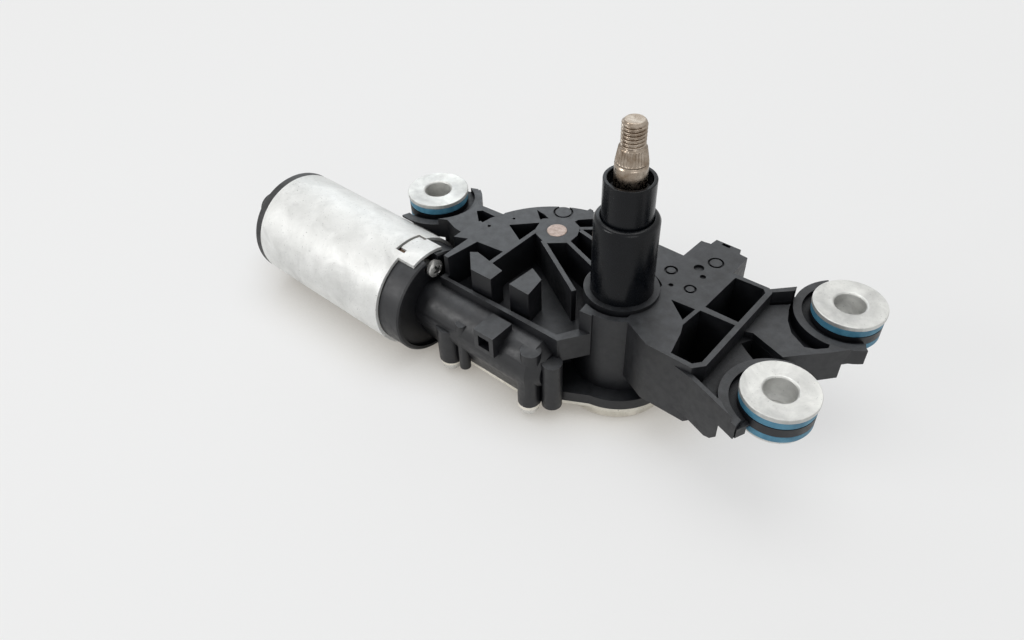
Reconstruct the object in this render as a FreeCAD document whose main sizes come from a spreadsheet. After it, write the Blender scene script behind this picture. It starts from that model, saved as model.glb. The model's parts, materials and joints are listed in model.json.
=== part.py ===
import FreeCAD, Part
import math
import os
import re

import Sketcher

# Rear wiper motor. Lengths are in millimetres. While a piece is built, level zero is the plane of the
# top washers, X runs along the motor axis away from the motor, and the output shaft is at X = Y = 0.
# Every finished piece is then lowered by arm_seat_level, so the origin is the wiper arm's seat.

Vector = FreeCAD.Vector

doc = FreeCAD.newDocument("WiperMotor")
sheet = doc.addObject("Spreadsheet::Sheet", "Sizes")

# Driving sizes

DRIVING_SIZES = {
    # where the three axes and the three fixings are
    "hub_x": -39.3, "hub_y": 13.2, "motor_y": -28.1, "motor_level": -23.1,
    "near_x": 65.0, "near_y": -8.3, "far_x": 65.0, "far_y": 42.5, "rear_x": -96.1, "rear_y": 5.4,
    "arm_seat_level": 57.3,
    # general clearances and walls
    "wall": 1.8, "rib_width": 1.7, "roof_thickness": 2.2, "running_gap": 0.05, "part_gap": 0.4,
    "seat_gap": 0.1,
    # motor can, magnets, cap
    "can_radius": 22.85, "can_sheet": 1.25, "can_rear_x": -150.0, "can_front_x": -77.0,
    "flange_front_x": -68.2, "cap_depth": 4.5, "cap_sheet": 1.6, "cap_dome": 5.0,
    "boss_radius": 6.6, "boss_length": 14.5, "magnet_thickness": 4.4, "magnet_length": 46.0,
    "magnet_angle": 126.0,
    # armature
    "armature_shaft_radius": 3.0, "rear_journal_radius": 2.0, "core_radius": 16.4,
    "core_front_x": -96.0, "core_length": 36.0, "pole_count": 12, "slot_width": 2.2,
    "slot_depth": 7.0, "winding_height": 5.5, "commutator_radius": 6.4, "commutator_length": 13.0,
    "bearing_radius": 5.0, "bearing_length": 6.0,
    # worm and worm wheel
    "wheel_teeth": 56, "wheel_module": 1.25, "wheel_height": 7.0, "worm_pitch_radius": 6.3,
    "worm_length": 30.0, "tooth_addendum": 0.95, "tooth_dedendum": 1.3, "wheel_backlash": 0.3, "pressure_angle": 20.0,
    "axle_radius": 3.95, "wheel_web": 2.0, "crank_radius": 5.0,
    "crank_pin_radius": 2.0, "crank_pin_length": 2.0,
    # sector drive
    "pinion_teeth": 12, "sector_teeth": 18, "drive_module": 1.0, "drive_backlash": 0.2, "drive_addendum": 0.85,
    "link_level": -28.9, "link_thickness": 2.6, "link_length": 34.0, "link_width": 9.0,
    "guide_angle": 118.0, "link_angle": 188.0, "guide_thickness": 2.2, "link_pin_radius": 2.2,
    # housing
    "roof_level": -16.8, "base_level": -38.5, "base_rim": 4.5, "base_lip": 1.6,
    "collar_radius": 17.0, "drum_flare_radius": 22.5, "lobe_x": -5.0, "lobe_y": 9.0, "lobe_radius": 14.0,
    "collar_floor": 2.4, "tube_wall": 3.2, "deck_radius": 39.9,
    "deck_x": -25.6, "deck_y": -5.0, "pocket_floor_level": -14.4,
    # bushings
    "washer_radius": 12.5, "washer_thickness": 1.8, "washer_hole_radius": 5.3, "sleeve_wall": 1.4,
    "bushing_height": 12.4, "ring_height": 3.0, "eye_radius": 12.2, "eye_height": 3.4,
    "waist_wall": 2.2, "lower_washer_radius": 11.4, "lower_washer_thickness": 1.4,
    # arms, the round bowl at each arm's end, and the comb
    "bowl_radius": 18.2, "bowl_level": -5.0, "bowl_foot": -11.2, "bowl_cutback": 19.0, "moat_radius": 15.0,
    "moat_level": -7.0, "eye_gap": 1.3, "near_floor_level": -7.2, "far_floor_level": -4.5,
    "arm_wall_level": -2.8, "arm_foot": -17.6, "skirt_foot": -21.3, "arm_hole_level": -15.4, "far_moat_level": -10.0,
    "comb_foot": -26.0, "comb_floor": -24.4, "rear_arm_level": -2.2,
    # motor flange, its screw, and what stands on the near side
    "flange_rim": 1.8, "flange_recess": 1.6, "flange_screw_y": -26.7, "flange_screw_level": -7.4,
    "flange_screw_length": 7.0, "near_lip_level": -8.6, "lip_radius": 13.4, "lip_height": 1.5,
    "lip_groove": 1.3, "seal_depth": 5.0, "disc_x": -45.2, "disc_y": 24.4, "disc_radius": 4.6,
    # output shaft and its tubes
    "shaft_radius": 5.4, "lower_shaft_radius": 3.6, "thread_radius": 4.0, "thread_length": 9.2,
    "knurl_length": 4.9, "knurl_foot_radius": 5.35, "knurl_top_radius": 4.5,
    "tower_radius": 11.1, "tower_top_level": 32.0, "tube_radius": 8.7, "tube_bore_radius": 7.35,
    "tube_top_level": 46.3, "shaft_foot_level": -42.6,
    # bottom cover
    "cover_sheet": 1.4, "cover_bulge_radius": 20.5, "cover_bulge_depth": 6.0,
    "cap_plug": 4.0, "tab_length": 8.2, "tab_width": 15.0, "tab_slot_width": 8.6, "worm_bore_end": -15.0,
    "thread_half": 0.62, "crank_angle": 255.0, "sector_span": 4, "bush_length": 9.0, "tower_foot": 3.0,
    "plate_thickness": 2.0, "brush_width": 4.0, "brush_length": 8.0, "choke_radius": 2.2, "choke_length": 8.0,
    "socket_x": 12.6, "socket_width": 8.4, "socket_level": -7.0, "socket_height": 7.0, "socket_floor": 33.0,
    "blade_count": 4, "blade_width": 1.0, "blade_length": 8.0, "boss_outer": 4.2, "screw_length": 9.0,
    # fasteners
    "screw_radius": 2.0, "screw_head_radius": 3.6, "screw_head_height": 2.6,
}

# Outlines of the housing in plan, as X and Y from the output shaft. Each goes once round its shape.

PLAN_OUTLINES = {
    "deck": [(-62.7, 9.6), (-8.0, 28.4), (0.0, 10.0), (0.0, -17.5), (-7.0, -27.6), (-63.0, -28.0)],
    "deck_well": [(-56.5, 4.2), (-33.2, 27.6), (-20.0, 31.0), (-8.4, 26.0), (-8.4, 10.0), (-4.6, -18.0),
                  (-9.0, -25.4), (-61.0, -26.6)],
    "left_plate": [(-68.0, -3.2), (-62.4, 9.4), (-57.5, 8.0), (-56.0, 4.4), (-46.2, -0.7), (-45.5, -9.6),
                   (-62.1, -11.6), (-68.0, -14.4)],
    "small_well": [(-54.0, 19.0), (-45.8, 17.9), (-49.0, 14.8)],
    "strip": [(-56.6, -17.6), (-54.2, -15.8), (-39.8, -18.4), (-39.8, -24.8), (-49.3, -25.0)],
    "step_block": [(-32.9, -22.5), (-32.0, -10.4), (-25.4, -13.4), (-23.8, -22.8)],
    "hub_plate": [(-46.0, 7.2), (-38.0, 4.0), (-31.0, 9.8), (-31.2, 15.6), (-33.6, 20.4),
                  (-38.2, 22.3), (-43.6, 20.2), (-48.6, 15.8)],
    "head": [(-6.0, 20.0), (-6.0, 29.9), (6.9, 29.9), (7.4, 41.6), (11.2, 42.2), (11.6, 45.7),
             (21.7, 45.8), (22.4, 43.3), (25.9, 43.0), (26.4, 8.6), (14.0, 6.0)],
    "comb": [(10.0, -12.0), (22.0, -17.6), (39.2, -17.6), (42.2, -14.0), (42.0, 30.8), (40.0, 32.6),
             (27.4, 32.2), (24.0, 31.6), (10.0, 12.0)],
    "comb_far": [(27.6, 10.2), (28.0, 30.3), (38.6, 30.9), (40.1, 29.4), (40.1, 10.4)],
    "comb_near": [(27.2, 7.6), (40.1, 8.4), (40.3, -13.2), (38.2, -15.8), (30.4, -15.9), (28.0, -6.0),
                  (26.4, -2.2)],
    "comb_corner": [(16.6, 6.2), (25.6, 7.0), (25.1, -0.2)],
    "near_arm": [(36.0, -16.0), (42.0, -18.6), (48.8, -21.0), (57.2, -24.0), (60.4, -25.0), (62.5, -20.0),
                 (63.0, 6.0), (57.8, 9.2), (44.9, 13.4), (38.0, 13.4)],
    "near_wall": [(33.0, -17.6), (40.4, -19.1), (47.3, -21.5), (57.6, -25.0), (59.6, -25.5), (57.2, -23.2),
                  (46.8, -19.7), (39.9, -17.3), (36.0, -15.6)],
    "far_arm": [(38.0, 11.0), (44.9, 13.4), (57.8, 9.2), (61.4, 13.2), (68.1, 20.0), (77.0, 30.4),
                (72.0, 40.0), (58.0, 53.0), (54.0, 50.4), (49.4, 42.0), (40.0, 32.4), (38.0, 30.0)],
    "far_wall": [(39.4, 31.2), (40.6, 30.0), (50.6, 39.8), (55.6, 48.4), (54.2, 50.2), (49.6, 42.0)],
    "far_slot": [(42.0, 29.2), (42.0, 31.2), (49.2, 38.2), (47.4, 33.9)],
    "far_moat": [(47.2, 37.0), (48.6, 32.0), (51.0, 26.3), (54.8, 21.4), (61.0, 17.9), (64.5, 19.4),
                 (67.4, 22.4), (66.0, 30.0), (56.0, 36.0)],
    "arm_hole": [(43.2, 9.2), (45.2, 13.2), (57.4, 9.2), (51.6, 4.0), (46.0, 7.2)],
    "rear_arm": [(-62.0, -9.6), (-62.0, 11.0), (-78.0, 9.8), (-88.0, 21.0), (-96.0, 17.4), (-96.0, -6.6),
                 (-90.0, -11.0), (-80.0, -6.0), (-74.0, -8.0)],
    "rear_well": [(-74.8, 5.8), (-73.2, 7.5), (-64.4, 7.6), (-65.6, -0.8), (-68.5, 0.3)],
    "near_base": [(-60.0, -33.4), (-17.0, -33.4), (4.2, -22.0), (14.0, 0.0), (-20.0, 16.0),
                  (-60.0, 0.0)],
}

# Ribs of the deck as straight lines from X, Y to X, Y.

DECK_RIBS = {
    "rib_shaft_near": (-39.5, 4.8, -12.6, -11.0),
    "rib_shaft_far": (-31.8, 10.4, -15.6, 4.6),
    "rib_plate": (-45.6, 8.0, -46.4, -18.0),
    "rib_wall": (-32.2, 18.8, -9.0, 14.4),
    "rib_back": (-38.2, 21.6, -37.0, 32.6),
    "rib_back_left": (-45.6, 18.0, -54.4, 20.8),
    "rib_back_right": (-33.2, 19.6, -18.0, 32.6),
}

aliases = set()


def store(alias, size):
    """Write one plain number and its name into the next row of the sheet."""
    aliases.add(alias)
    row = len(aliases)
    sheet.set(f"A{row}", alias)
    sheet.set(f"B{row}", str(size))
    sheet.setAlias(f"B{row}", alias)


for alias, size in DRIVING_SIZES.items():
    store(alias, size)
for outline, corners in PLAN_OUTLINES.items():
    for index, (x, y) in enumerate(corners):
        store(f"{outline}_x{index}", x)
        store(f"{outline}_y{index}", y)
for rib, ends in DECK_RIBS.items():
    for coordinate, number in zip(("from_x", "from_y", "to_x", "to_y"), ends):
        store(f"{rib}_{coordinate}", number)
doc.recompute()


def bound(text):
    """Spell an expression with the sheet's name before each alias."""
    return re.sub(r"[a-z]\w*", lambda word: "Sizes." + word[0] if word[0] in aliases else word[0], str(text))


def value(text):
    return float(sheet.evalExpression(bound(text)))


# Derived levels and radii, as expressions of the driving sizes

WHEEL_PITCH = "(wheel_teeth * wheel_module / 2)"
WHEEL_TIP = f"({WHEEL_PITCH} + tooth_addendum)"
WHEEL_TOP = "(motor_level + wheel_height / 2)"
WHEEL_BOTTOM = "(motor_level - wheel_height / 2)"
WORM_TIP = "(worm_pitch_radius + tooth_addendum)"
WORM_ROOT = "(worm_pitch_radius - tooth_dedendum)"
CHAMBER_RADIUS = f"({WHEEL_TIP} + part_gap)"
CHAMBER_TOP = "(roof_level - roof_thickness)"
DRUM_RADIUS = f"({CHAMBER_RADIUS} + wall)"
WORM_BORE = f"({WORM_TIP} + part_gap)"
WORM_TUBE = f"({WORM_BORE} + tube_wall)"
SHAFT_CHAMBER = "(collar_radius - wall)"
PINION_PITCH = "(pinion_teeth * drive_module / 2)"
SECTOR_PITCH = "(sector_teeth * drive_module / 2)"
PIVOT_REACH = f"({PINION_PITCH} + {SECTOR_PITCH})"
LINK_BOTTOM = "(link_level - link_thickness)"
GUIDE_TOP = f"({LINK_BOTTOM} - part_gap)"
GUIDE_BOTTOM = f"({GUIDE_TOP} - guide_thickness)"
TUBE_FOOT = f"({CHAMBER_TOP} + collar_floor)"
CAN_BORE = "(can_radius - can_sheet)"
FLANGE_RADIUS = "(can_radius - can_sheet - seat_gap)"
COVER_LEVEL = "(base_level - seat_gap)"
SLEEVE_OUTER = "(washer_hole_radius + sleeve_wall)"
WAIST_RADIUS = "(eye_radius - waist_wall)"
EYE_TOP = "(0 - washer_thickness - ring_height)"
EYE_BOTTOM = f"({EYE_TOP} - eye_height)"
COVER_SCREWS = [("-53", "-36"), ("-14.5", "-34.5")]
COVER_SCREWS += [(f"hub_x + ({DRUM_RADIUS} + 3) * cos({angle})", f"hub_y + ({DRUM_RADIUS} + 3) * sin({angle})")
                 for angle in (62, 128, 194)]
# each bowl runs clockwise from the second of its two angles to the first
BOWL_ANGLES = {"near": ("100", "254"), "far": ("134", "315"), "rear": ("0 - 102", "60")}
BUSHINGS = {"near": ("near_x", "near_y"), "far": ("far_x", "far_y"), "rear": ("rear_x", "rear_y")}

pieces = []


def finish(piece, label, x="0", y="0", level="0"):
    """Name a finished piece and set it down from the washer plane to the arm seat's frame."""
    piece.Label = label
    for axis, text in (("x", x), ("y", y), ("z", f"({level}) - arm_seat_level")):
        piece.setExpression(f"Placement.Base.{axis}", bound(text))
    pieces.append(piece)
    return piece


# Sketch and feature helpers


def make_body(name):
    return doc.addObject("PartDesign::Body", name)


def make_sketch(body, name, role, offset="0"):
    sketch = body.newObject("Sketcher::SketchObject", name)
    plane = next(item for item in body.Origin.OriginFeatures if item.Role == role)
    sketch.AttachmentSupport = [(plane, "")]
    sketch.MapMode = "FlatFace"
    sketch.setExpression("AttachmentOffset.Base.z", bound(offset))
    return sketch


def pin_point(sketch, geometry, point, x, y):
    """Tie a point of a sketch to expressions for its two coordinates."""
    for kind, text in (("DistanceX", x), ("DistanceY", y)):
        sketch.addConstraint(Sketcher.Constraint(kind, -1, 1, geometry, point, value(text)))
        sketch.setExpression(f"Constraints[{sketch.ConstraintCount - 1}]", bound(text))


def arc_between(start, end, radius):
    """The shorter arc from start to end that bulges to the left of the way there."""
    middle = (start + end) / 2
    half = (end - start) / 2
    left = Vector(-half.y, half.x, 0).normalize()
    reach = math.sqrt(radius ** 2 - half.Length ** 2)
    return Part.Arc(start, middle + left * (radius - reach), end)


def draw_polygon(sketch, corners, arcs=None):
    """Draw straight sides from corner to corner; arcs gives a side's radius by its number."""
    arcs = arcs or {}
    first = sketch.GeometryCount
    places = [Vector(value(x), value(y), 0) for x, y in corners]
    for index, (start, end) in enumerate(zip(places, places[1:] + places[:1])):
        if index in arcs:
            sketch.addGeometry(arc_between(start, end, value(arcs[index])))
        else:
            sketch.addGeometry(Part.LineSegment(start, end))
    # an arc's own first point is the one reached last when it runs clockwise
    for index, (x, y) in enumerate(corners):
        following = (index + 1) % len(corners)
        last_point = 1 if index in arcs else 2
        first_point = 2 if following in arcs else 1
        sketch.addConstraint(Sketcher.Constraint("Coincident", first + index, last_point,
                                                 first + following, first_point))
        pin_point(sketch, first + index, 2 if index in arcs else 1, x, y)
        if index in arcs:
            sketch.addConstraint(Sketcher.Constraint("Radius", first + index, value(arcs[index])))
            sketch.setExpression(f"Constraints[{sketch.ConstraintCount - 1}]", bound(arcs[index]))


def draw_circle(sketch, x, y, radius):
    circle = Part.Circle(Vector(value(x), value(y), 0), Vector(0, 0, 1), value(radius))
    index = sketch.addGeometry(circle)
    pin_point(sketch, index, 3, x, y)
    sketch.addConstraint(Sketcher.Constraint("Radius", index, value(radius)))
    sketch.setExpression(f"Constraints[{sketch.ConstraintCount - 1}]", bound(radius))


def plan(outline):
    """Corners of a named plan outline as expressions."""
    count = len(PLAN_OUTLINES[outline])
    return [(f"{outline}_x{index}", f"{outline}_y{index}") for index in range(count)]


def rectangle(left, right, front, back):
    return [(left, front), (right, front), (right, back), (left, back)]


def pad(body, name, bottom, top, polygon=None, circles=(), arcs=None, polygons=()):
    """Raise polygons or circles from one level to another."""
    sketch = make_sketch(body, name + "Sketch", "XY_Plane", bottom)
    for corners in [polygon] if polygon else polygons:
        draw_polygon(sketch, corners, arcs)
    for circle in circles:
        draw_circle(sketch, *circle)
    feature = body.newObject("PartDesign::Pad", name)
    feature.Refine = False
    feature.Profile = sketch
    feature.setExpression("Length", bound(f"({top}) - ({bottom})"))
    return feature


def pocket(body, name, bottom, top, polygon=None, circles=(), polygons=()):
    """Cut polygons or circles down from one level to another."""
    sketch = make_sketch(body, name + "Sketch", "XY_Plane", top)
    for corners in [polygon] if polygon else polygons:
        draw_polygon(sketch, corners)
    for circle in circles:
        draw_circle(sketch, *circle)
    feature = body.newObject("PartDesign::Pocket", name)
    feature.Refine = False
    feature.Profile = sketch
    feature.setExpression("Length", bound(f"({top}) - ({bottom})"))
    return feature


def turn(body, name, profile, about="Z", cut=False, centre=("0", "0")):
    """Revolve a profile about Z (radius, level) or about X (station, radius) through centre."""
    sketch = make_sketch(body, name + "Sketch", "XZ_Plane", f"0 - ({centre[0]})" if about == "X" else "0")
    shift = [(x, f"({y}) + ({centre[1]})") for x, y in profile] if about == "X" else profile
    draw_polygon(sketch, shift)
    feature = body.newObject("PartDesign::Groove" if cut else "PartDesign::Revolution", name)
    feature.Refine = False
    feature.Profile = sketch
    if about == "Z":
        feature.ReferenceAxis = (sketch, ["V_Axis"])
    else:
        line = sketch.addGeometry(Part.LineSegment(Vector(0, 0, 0), Vector(1, 0, 0)), True)
        pin_point(sketch, line, 1, "0", centre[1])
        pin_point(sketch, line, 2, "1", centre[1])
        feature.ReferenceAxis = (sketch, ["Axis0"])
    feature.Angle = 360
    return feature


def turned_piece(label, profile, about="Z", x="0", y="0", level="0"):
    """A piece that is one revolved profile, in a body of its own."""
    body = make_body(label.title().replace("_", ""))
    turn(body, label.title().replace("_", "") + "Turn", profile, about)
    return finish(body, label, x, y, level)


def tube_profile(inner, outer, low, high):
    """Section of a tube about Z."""
    return [(inner, low), (outer, low), (outer, high), (inner, high)]


def barrel_profile(inner, outer, low, high):
    """Section of a tube about X."""
    return [(low, inner), (high, inner), (high, outer), (low, outer)]


def rib_corners(rib):
    """Four corners of a rib of rib_width along its line, as expressions."""
    x1, y1, x2, y2 = (f"{rib}_{end}" for end in ("from_x", "from_y", "to_x", "to_y"))
    run = f"hypot({x2} - {x1}; {y2} - {y1})"
    side_x = f"(({y2} - {y1}) / {run} * rib_width / 2)"
    side_y = f"(({x2} - {x1}) / {run} * rib_width / 2)"
    return [(f"{x1} + {side_x}", f"{y1} - {side_y}"), (f"{x2} + {side_x}", f"{y2} - {side_y}"),
            (f"{x2} - {side_x}", f"{y2} + {side_y}"), (f"{x1} - {side_x}", f"{y1} + {side_y}")]


def cylinder(name, radius, height, x="0", y="0", level="0", along="Z"):
    """A plain cylinder from its foot, along Z or along X."""
    piece = doc.addObject("Part::Cylinder", name)
    piece.setExpression("Radius", bound(radius))
    piece.setExpression("Height", bound(height))
    if along == "X":
        piece.Placement.Rotation = FreeCAD.Rotation(Vector(0, 1, 0), 90)
    if along == "Y":
        piece.Placement.Rotation = FreeCAD.Rotation(Vector(1, 0, 0), -90)
    for axis, text in (("x", x), ("y", y), ("z", level)):
        piece.setExpression(f"Placement.Base.{axis}", bound(text))
    return piece


def box(name, left, right, front, back, bottom, top):
    """A plain block between six planes."""
    piece = doc.addObject("Part::Box", name)
    piece.setExpression("Length", bound(f"({right}) - ({left})"))
    piece.setExpression("Width", bound(f"({back}) - ({front})"))
    piece.setExpression("Height", bound(f"({top}) - ({bottom})"))
    for axis, text in (("x", left), ("y", front), ("z", bottom)):
        piece.setExpression(f"Placement.Base.{axis}", bound(text))
    return piece


def cut(name, base, tool):
    piece = doc.addObject("Part::Cut", name)
    piece.Base = base
    piece.Tool = tool
    return piece


def join(name, shapes):
    piece = doc.addObject("Part::MultiFuse", name)
    piece.Shapes = shapes
    return piece


def group(name, shapes):
    piece = doc.addObject("Part::Compound", name)
    piece.Links = shapes
    return piece


# Gear housing: one moulding with the wheel drum, the worm tube, the motor flange, the shaft collar,
# the ribbed deck, the comb of open pockets, the connector head and three arms

housing = make_body("GearHousing")
pad(housing, "WheelDrum", "base_level", "roof_level", circles=[("hub_x", "hub_y", DRUM_RADIUS)])
pad(housing, "WheelRim", "base_level", "base_level + base_rim",
    circles=[("hub_x", "hub_y", f"{DRUM_RADIUS} + base_lip")])
pad(housing, "NearBase", "base_level", "base_level + base_rim", plan("near_base"))
pad(housing, "NearBody", "base_level + base_rim / 2", "motor_level",
    rectangle("flange_front_x", "0 - collar_radius", f"motor_y", "hub_y"))
pad(housing, "ShaftRim", "base_level", "base_level + base_rim", circles=[("0", "0", "drum_flare_radius")])
pad(housing, "LinkLobe", "base_level", "link_level + 3", circles=[("lobe_x", "lobe_y", "lobe_radius + wall")])
pad(housing, "ShaftDrum", "base_level", "0", circles=[("0", "0", "collar_radius")])

turn(housing, "MotorFlange", [("can_front_x", "0"), ("can_front_x", FLANGE_RADIUS),
                              ("flange_front_x + 1", FLANGE_RADIUS), ("flange_front_x + flange_recess", FLANGE_RADIUS + " - 0.6"),
                              ("flange_front_x + flange_recess", FLANGE_RADIUS + " - flange_rim"),
                              ("flange_front_x", FLANGE_RADIUS + " - flange_rim"), ("flange_front_x", "0")],
     "X", centre=("motor_y", "motor_level"))
turn(housing, "WormTube", [("flange_front_x", "0"), ("flange_front_x", WORM_TUBE),
                           ("0 - collar_radius + 4", WORM_TUBE), ("0 - collar_radius + 8", f"{WORM_TUBE} - 4"),
                           ("0 - collar_radius + 8", "0")], "X", centre=("motor_y", "motor_level"))

# Deck: a roof over the drums with an outer wall, plates and ribs that all end at level zero
pad(housing, "Deck", CHAMBER_TOP, "0", plan("deck"), arcs={0: "deck_radius"})
pocket(housing, "DeckWell", "pocket_floor_level", "0", plan("deck_well"))
pocket(housing, "SmallWell", "pocket_floor_level", "0", plan("small_well"))
pad(housing, "DeckPlates", CHAMBER_TOP, "0",
    polygons=[plan(outline) for outline in ("left_plate", "strip", "step_block", "hub_plate", "head")])
for rib in DECK_RIBS:
    pad(housing, rib.title().replace("_", ""), CHAMBER_TOP, "0", rib_corners(rib))

pocket(housing, "DeckNearEdge", "near_lip_level", "0",
       [("0 - 72", "0 - 31"), ("2", "0 - 31"), ("2", "0 - 17.6"), ("0 - 5", "0 - 18.2"), ("0 - 9.4", "0 - 25.2"),
        ("0 - 72", "0 - 25.2")])
pad(housing, "CornerDisc", CHAMBER_TOP, "0 - 1", circles=[("disc_x", "disc_y", "disc_radius")])
pocket(housing, "CornerDimple", "0 - 5", "0 - 1", circles=[("disc_x + 1", "disc_y - 1", "disc_radius / 2")])
pad(housing, "TowerLip", CHAMBER_TOP, "lip_height", circles=[("0", "0", "lip_radius")])
pocket(housing, "LipGroove", "0 - lip_groove", "0",
       circles=[("0", "0", "lip_radius"), ("0", "0", "lip_radius + lip_groove")])

# Near side: a panel that slants from the worm tube down to the cover, round screw bosses and a hook
# with a window
panel = make_sketch(housing, "SkirtPanelSketch", "YZ_Plane", "flange_front_x + 1")
draw_polygon(panel, [("motor_y", "motor_level"), ("motor_y - 10.6", "motor_level - 2"), ("motor_y - 5.3", "base_level"),
                     ("0", "base_level"), ("0", "motor_level")])
panel_pad = housing.newObject("PartDesign::Pad", "SkirtPanel")
panel_pad.Profile = panel
panel_pad.setExpression("Length", bound("0 - 16 - (flange_front_x + 1)"))
pad(housing, "SideBosses", "base_level", "motor_level + 1", circles=[("0 - 53", "0 - 35.6", "4.9")])
pad(housing, "SideBossTall", "base_level", "motor_level + 7", circles=[("0 - 44.8", "0 - 36.6", "2.2")])
pad(housing, "SideBossMiddle", "base_level", "motor_level + 10", circles=[("0 - 14", "0 - 33.6", "3.8")])
pad(housing, "SideBossLow", "base_level", "motor_level + 6", circles=[("0 - 7", "0 - 30.4", "3.8")])
pad(housing, "Hook", "motor_level + 4", "motor_level + 13.2",
    rectangle("0 - 34.8", "0 - 25.6", "0 - 40.4", "0 - 30"))
pocket(housing, "HookWindow", "motor_level + 6", "motor_level + 11", rectangle("0 - 32.8", "0 - 27.6", "0 - 42", "0 - 37.4"))

# Comb: two deep open pockets and a corner pocket between the head and the arms
pad(housing, "Comb", "comb_foot", "0", plan("comb"))

# Arms: plates with thin outer walls, and a flat bowl round each bushing's eye
pad(housing, "NearArm", "arm_foot", "near_floor_level", plan("near_arm"))
pad(housing, "NearWall", "skirt_foot", "arm_wall_level", plan("near_wall"))
pad(housing, "FarArm", "arm_foot", "far_floor_level", plan("far_arm"))
pad(housing, "FarWall", "arm_foot", "0", plan("far_wall"))
pad(housing, "RearArm", "arm_foot", "rear_arm_level", plan("rear_arm"))
pocket(housing, "CombPockets", "comb_floor", "0",
       polygons=[plan(outline) for outline in ("comb_far", "comb_near", "comb_corner")])
pocket(housing, "ArmPockets", "arm_hole_level", "0",
       polygons=[plan(outline) for outline in ("far_slot", "arm_hole", "rear_well")])
pocket(housing, "FarMoat", "far_moat_level", "0", plan("far_moat"))
bowls = []
for side, (x, y) in BUSHINGS.items():
    bowls.append([(f"{x} + bowl_radius * cos({angle})", f"{y} + bowl_radius * sin({angle})")
                  for angle in reversed(BOWL_ANGLES[side])])


def around_bushings(radius):
    return [(x, y, radius) for x, y in BUSHINGS.values()]


pad(housing, "Bowls", "bowl_foot", "bowl_level", polygons=bowls, arcs={0: "bowl_radius"})
pocket(housing, "BowlTops", "bowl_level", "1", circles=around_bushings("bowl_radius"))
pocket(housing, "BowlFeet", "skirt_foot - 1", "bowl_foot", circles=around_bushings("bowl_cutback"))
pocket(housing, "Moats", "moat_level", "1", circles=around_bushings("moat_radius"))
pad(housing, "Eyes", EYE_BOTTOM, EYE_TOP, circles=around_bushings("eye_radius"))
pocket(housing, "EyeRooms", "bowl_foot", EYE_BOTTOM, circles=around_bushings("eye_radius + eye_gap"))
pocket(housing, "EyeBores", EYE_BOTTOM, EYE_TOP, circles=around_bushings(WAIST_RADIUS))

# Insides
pad(housing, "CoverBosses", "base_level", "motor_level", circles=[(x, y, "boss_outer") for x, y in COVER_SCREWS])
pocket(housing, "WheelChamber", "base_level", CHAMBER_TOP, circles=[("hub_x", "hub_y", CHAMBER_RADIUS)])
pocket(housing, "ShaftChamber", "base_level", "link_level + part_gap", circles=[("0", "0", SHAFT_CHAMBER)])
pocket(housing, "LobeChamber", "base_level", "link_level + part_gap", circles=[("lobe_x", "lobe_y", "lobe_radius")])
turn(housing, "WormBore", [("can_front_x", "0"), ("can_front_x", FLANGE_RADIUS + " - wall"),
                           ("flange_front_x - 2", FLANGE_RADIUS + " - wall"), ("flange_front_x - 2", "bearing_radius"),
                           ("flange_front_x + 4", "bearing_radius"), ("flange_front_x + 4", WORM_BORE),
                           ("worm_bore_end", WORM_BORE), ("worm_bore_end", "0")],
     "X", cut=True, centre=("motor_y", "motor_level"))
flange_hole = make_sketch(housing, "FlangeScrewHoleSketch", "YZ_Plane", "flange_front_x")
draw_circle(flange_hole, "flange_screw_y", "flange_screw_level", "screw_radius + seat_gap / 2")
flange_cut = housing.newObject("PartDesign::Pocket", "FlangeScrewHole")
flange_cut.Profile = flange_hole
flange_cut.setExpression("Length", bound("flange_screw_length"))
pocket(housing, "AxleBore", CHAMBER_TOP, "0", circles=[("hub_x", "hub_y", "axle_radius + seat_gap / 2")])
pocket(housing, "TubeBore", TUBE_FOOT, "0", circles=[("0", "0", "tube_radius + seat_gap / 2")])
pocket(housing, "ShaftBore", "link_level", TUBE_FOOT, circles=[("0", "0", "lower_shaft_radius + part_gap")])
turn(housing, "CanRoom", [("can_rear_x", "0"), ("can_rear_x", "can_radius + part_gap"), ("can_front_x", "can_radius + part_gap"),
                          ("can_front_x", "0")], "X", cut=True, centre=("motor_y", "motor_level"))
socket = make_sketch(housing, "SocketSketch", "XZ_Plane", "0 - 46")
draw_polygon(socket, rectangle("socket_x", "socket_x + socket_width", "socket_level - socket_height / 2",
                               "socket_level + socket_height / 2"))
socket_cut = housing.newObject("PartDesign::Pocket", "Socket")
socket_cut.Profile = socket
socket_cut.setExpression("Length", bound("46 - socket_floor"))
socket_cut.Reversed = True
pocket(housing, "TowerSeat", "0 - tower_foot", "lip_height", circles=[("0", "0", "tower_radius + seat_gap / 2")])
pocket(housing, "CoverHoles", "base_level", "base_level + screw_length", circles=[
    (x, y, "screw_radius + seat_gap / 2") for x, y in COVER_SCREWS])
finish(housing, "gear_housing")
housing.Tip = housing.Group[-1]
housing.Tip.Refine = True

# Motor can: a rolled and plated steel tube with a tab that laps over the housing's flange

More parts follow.
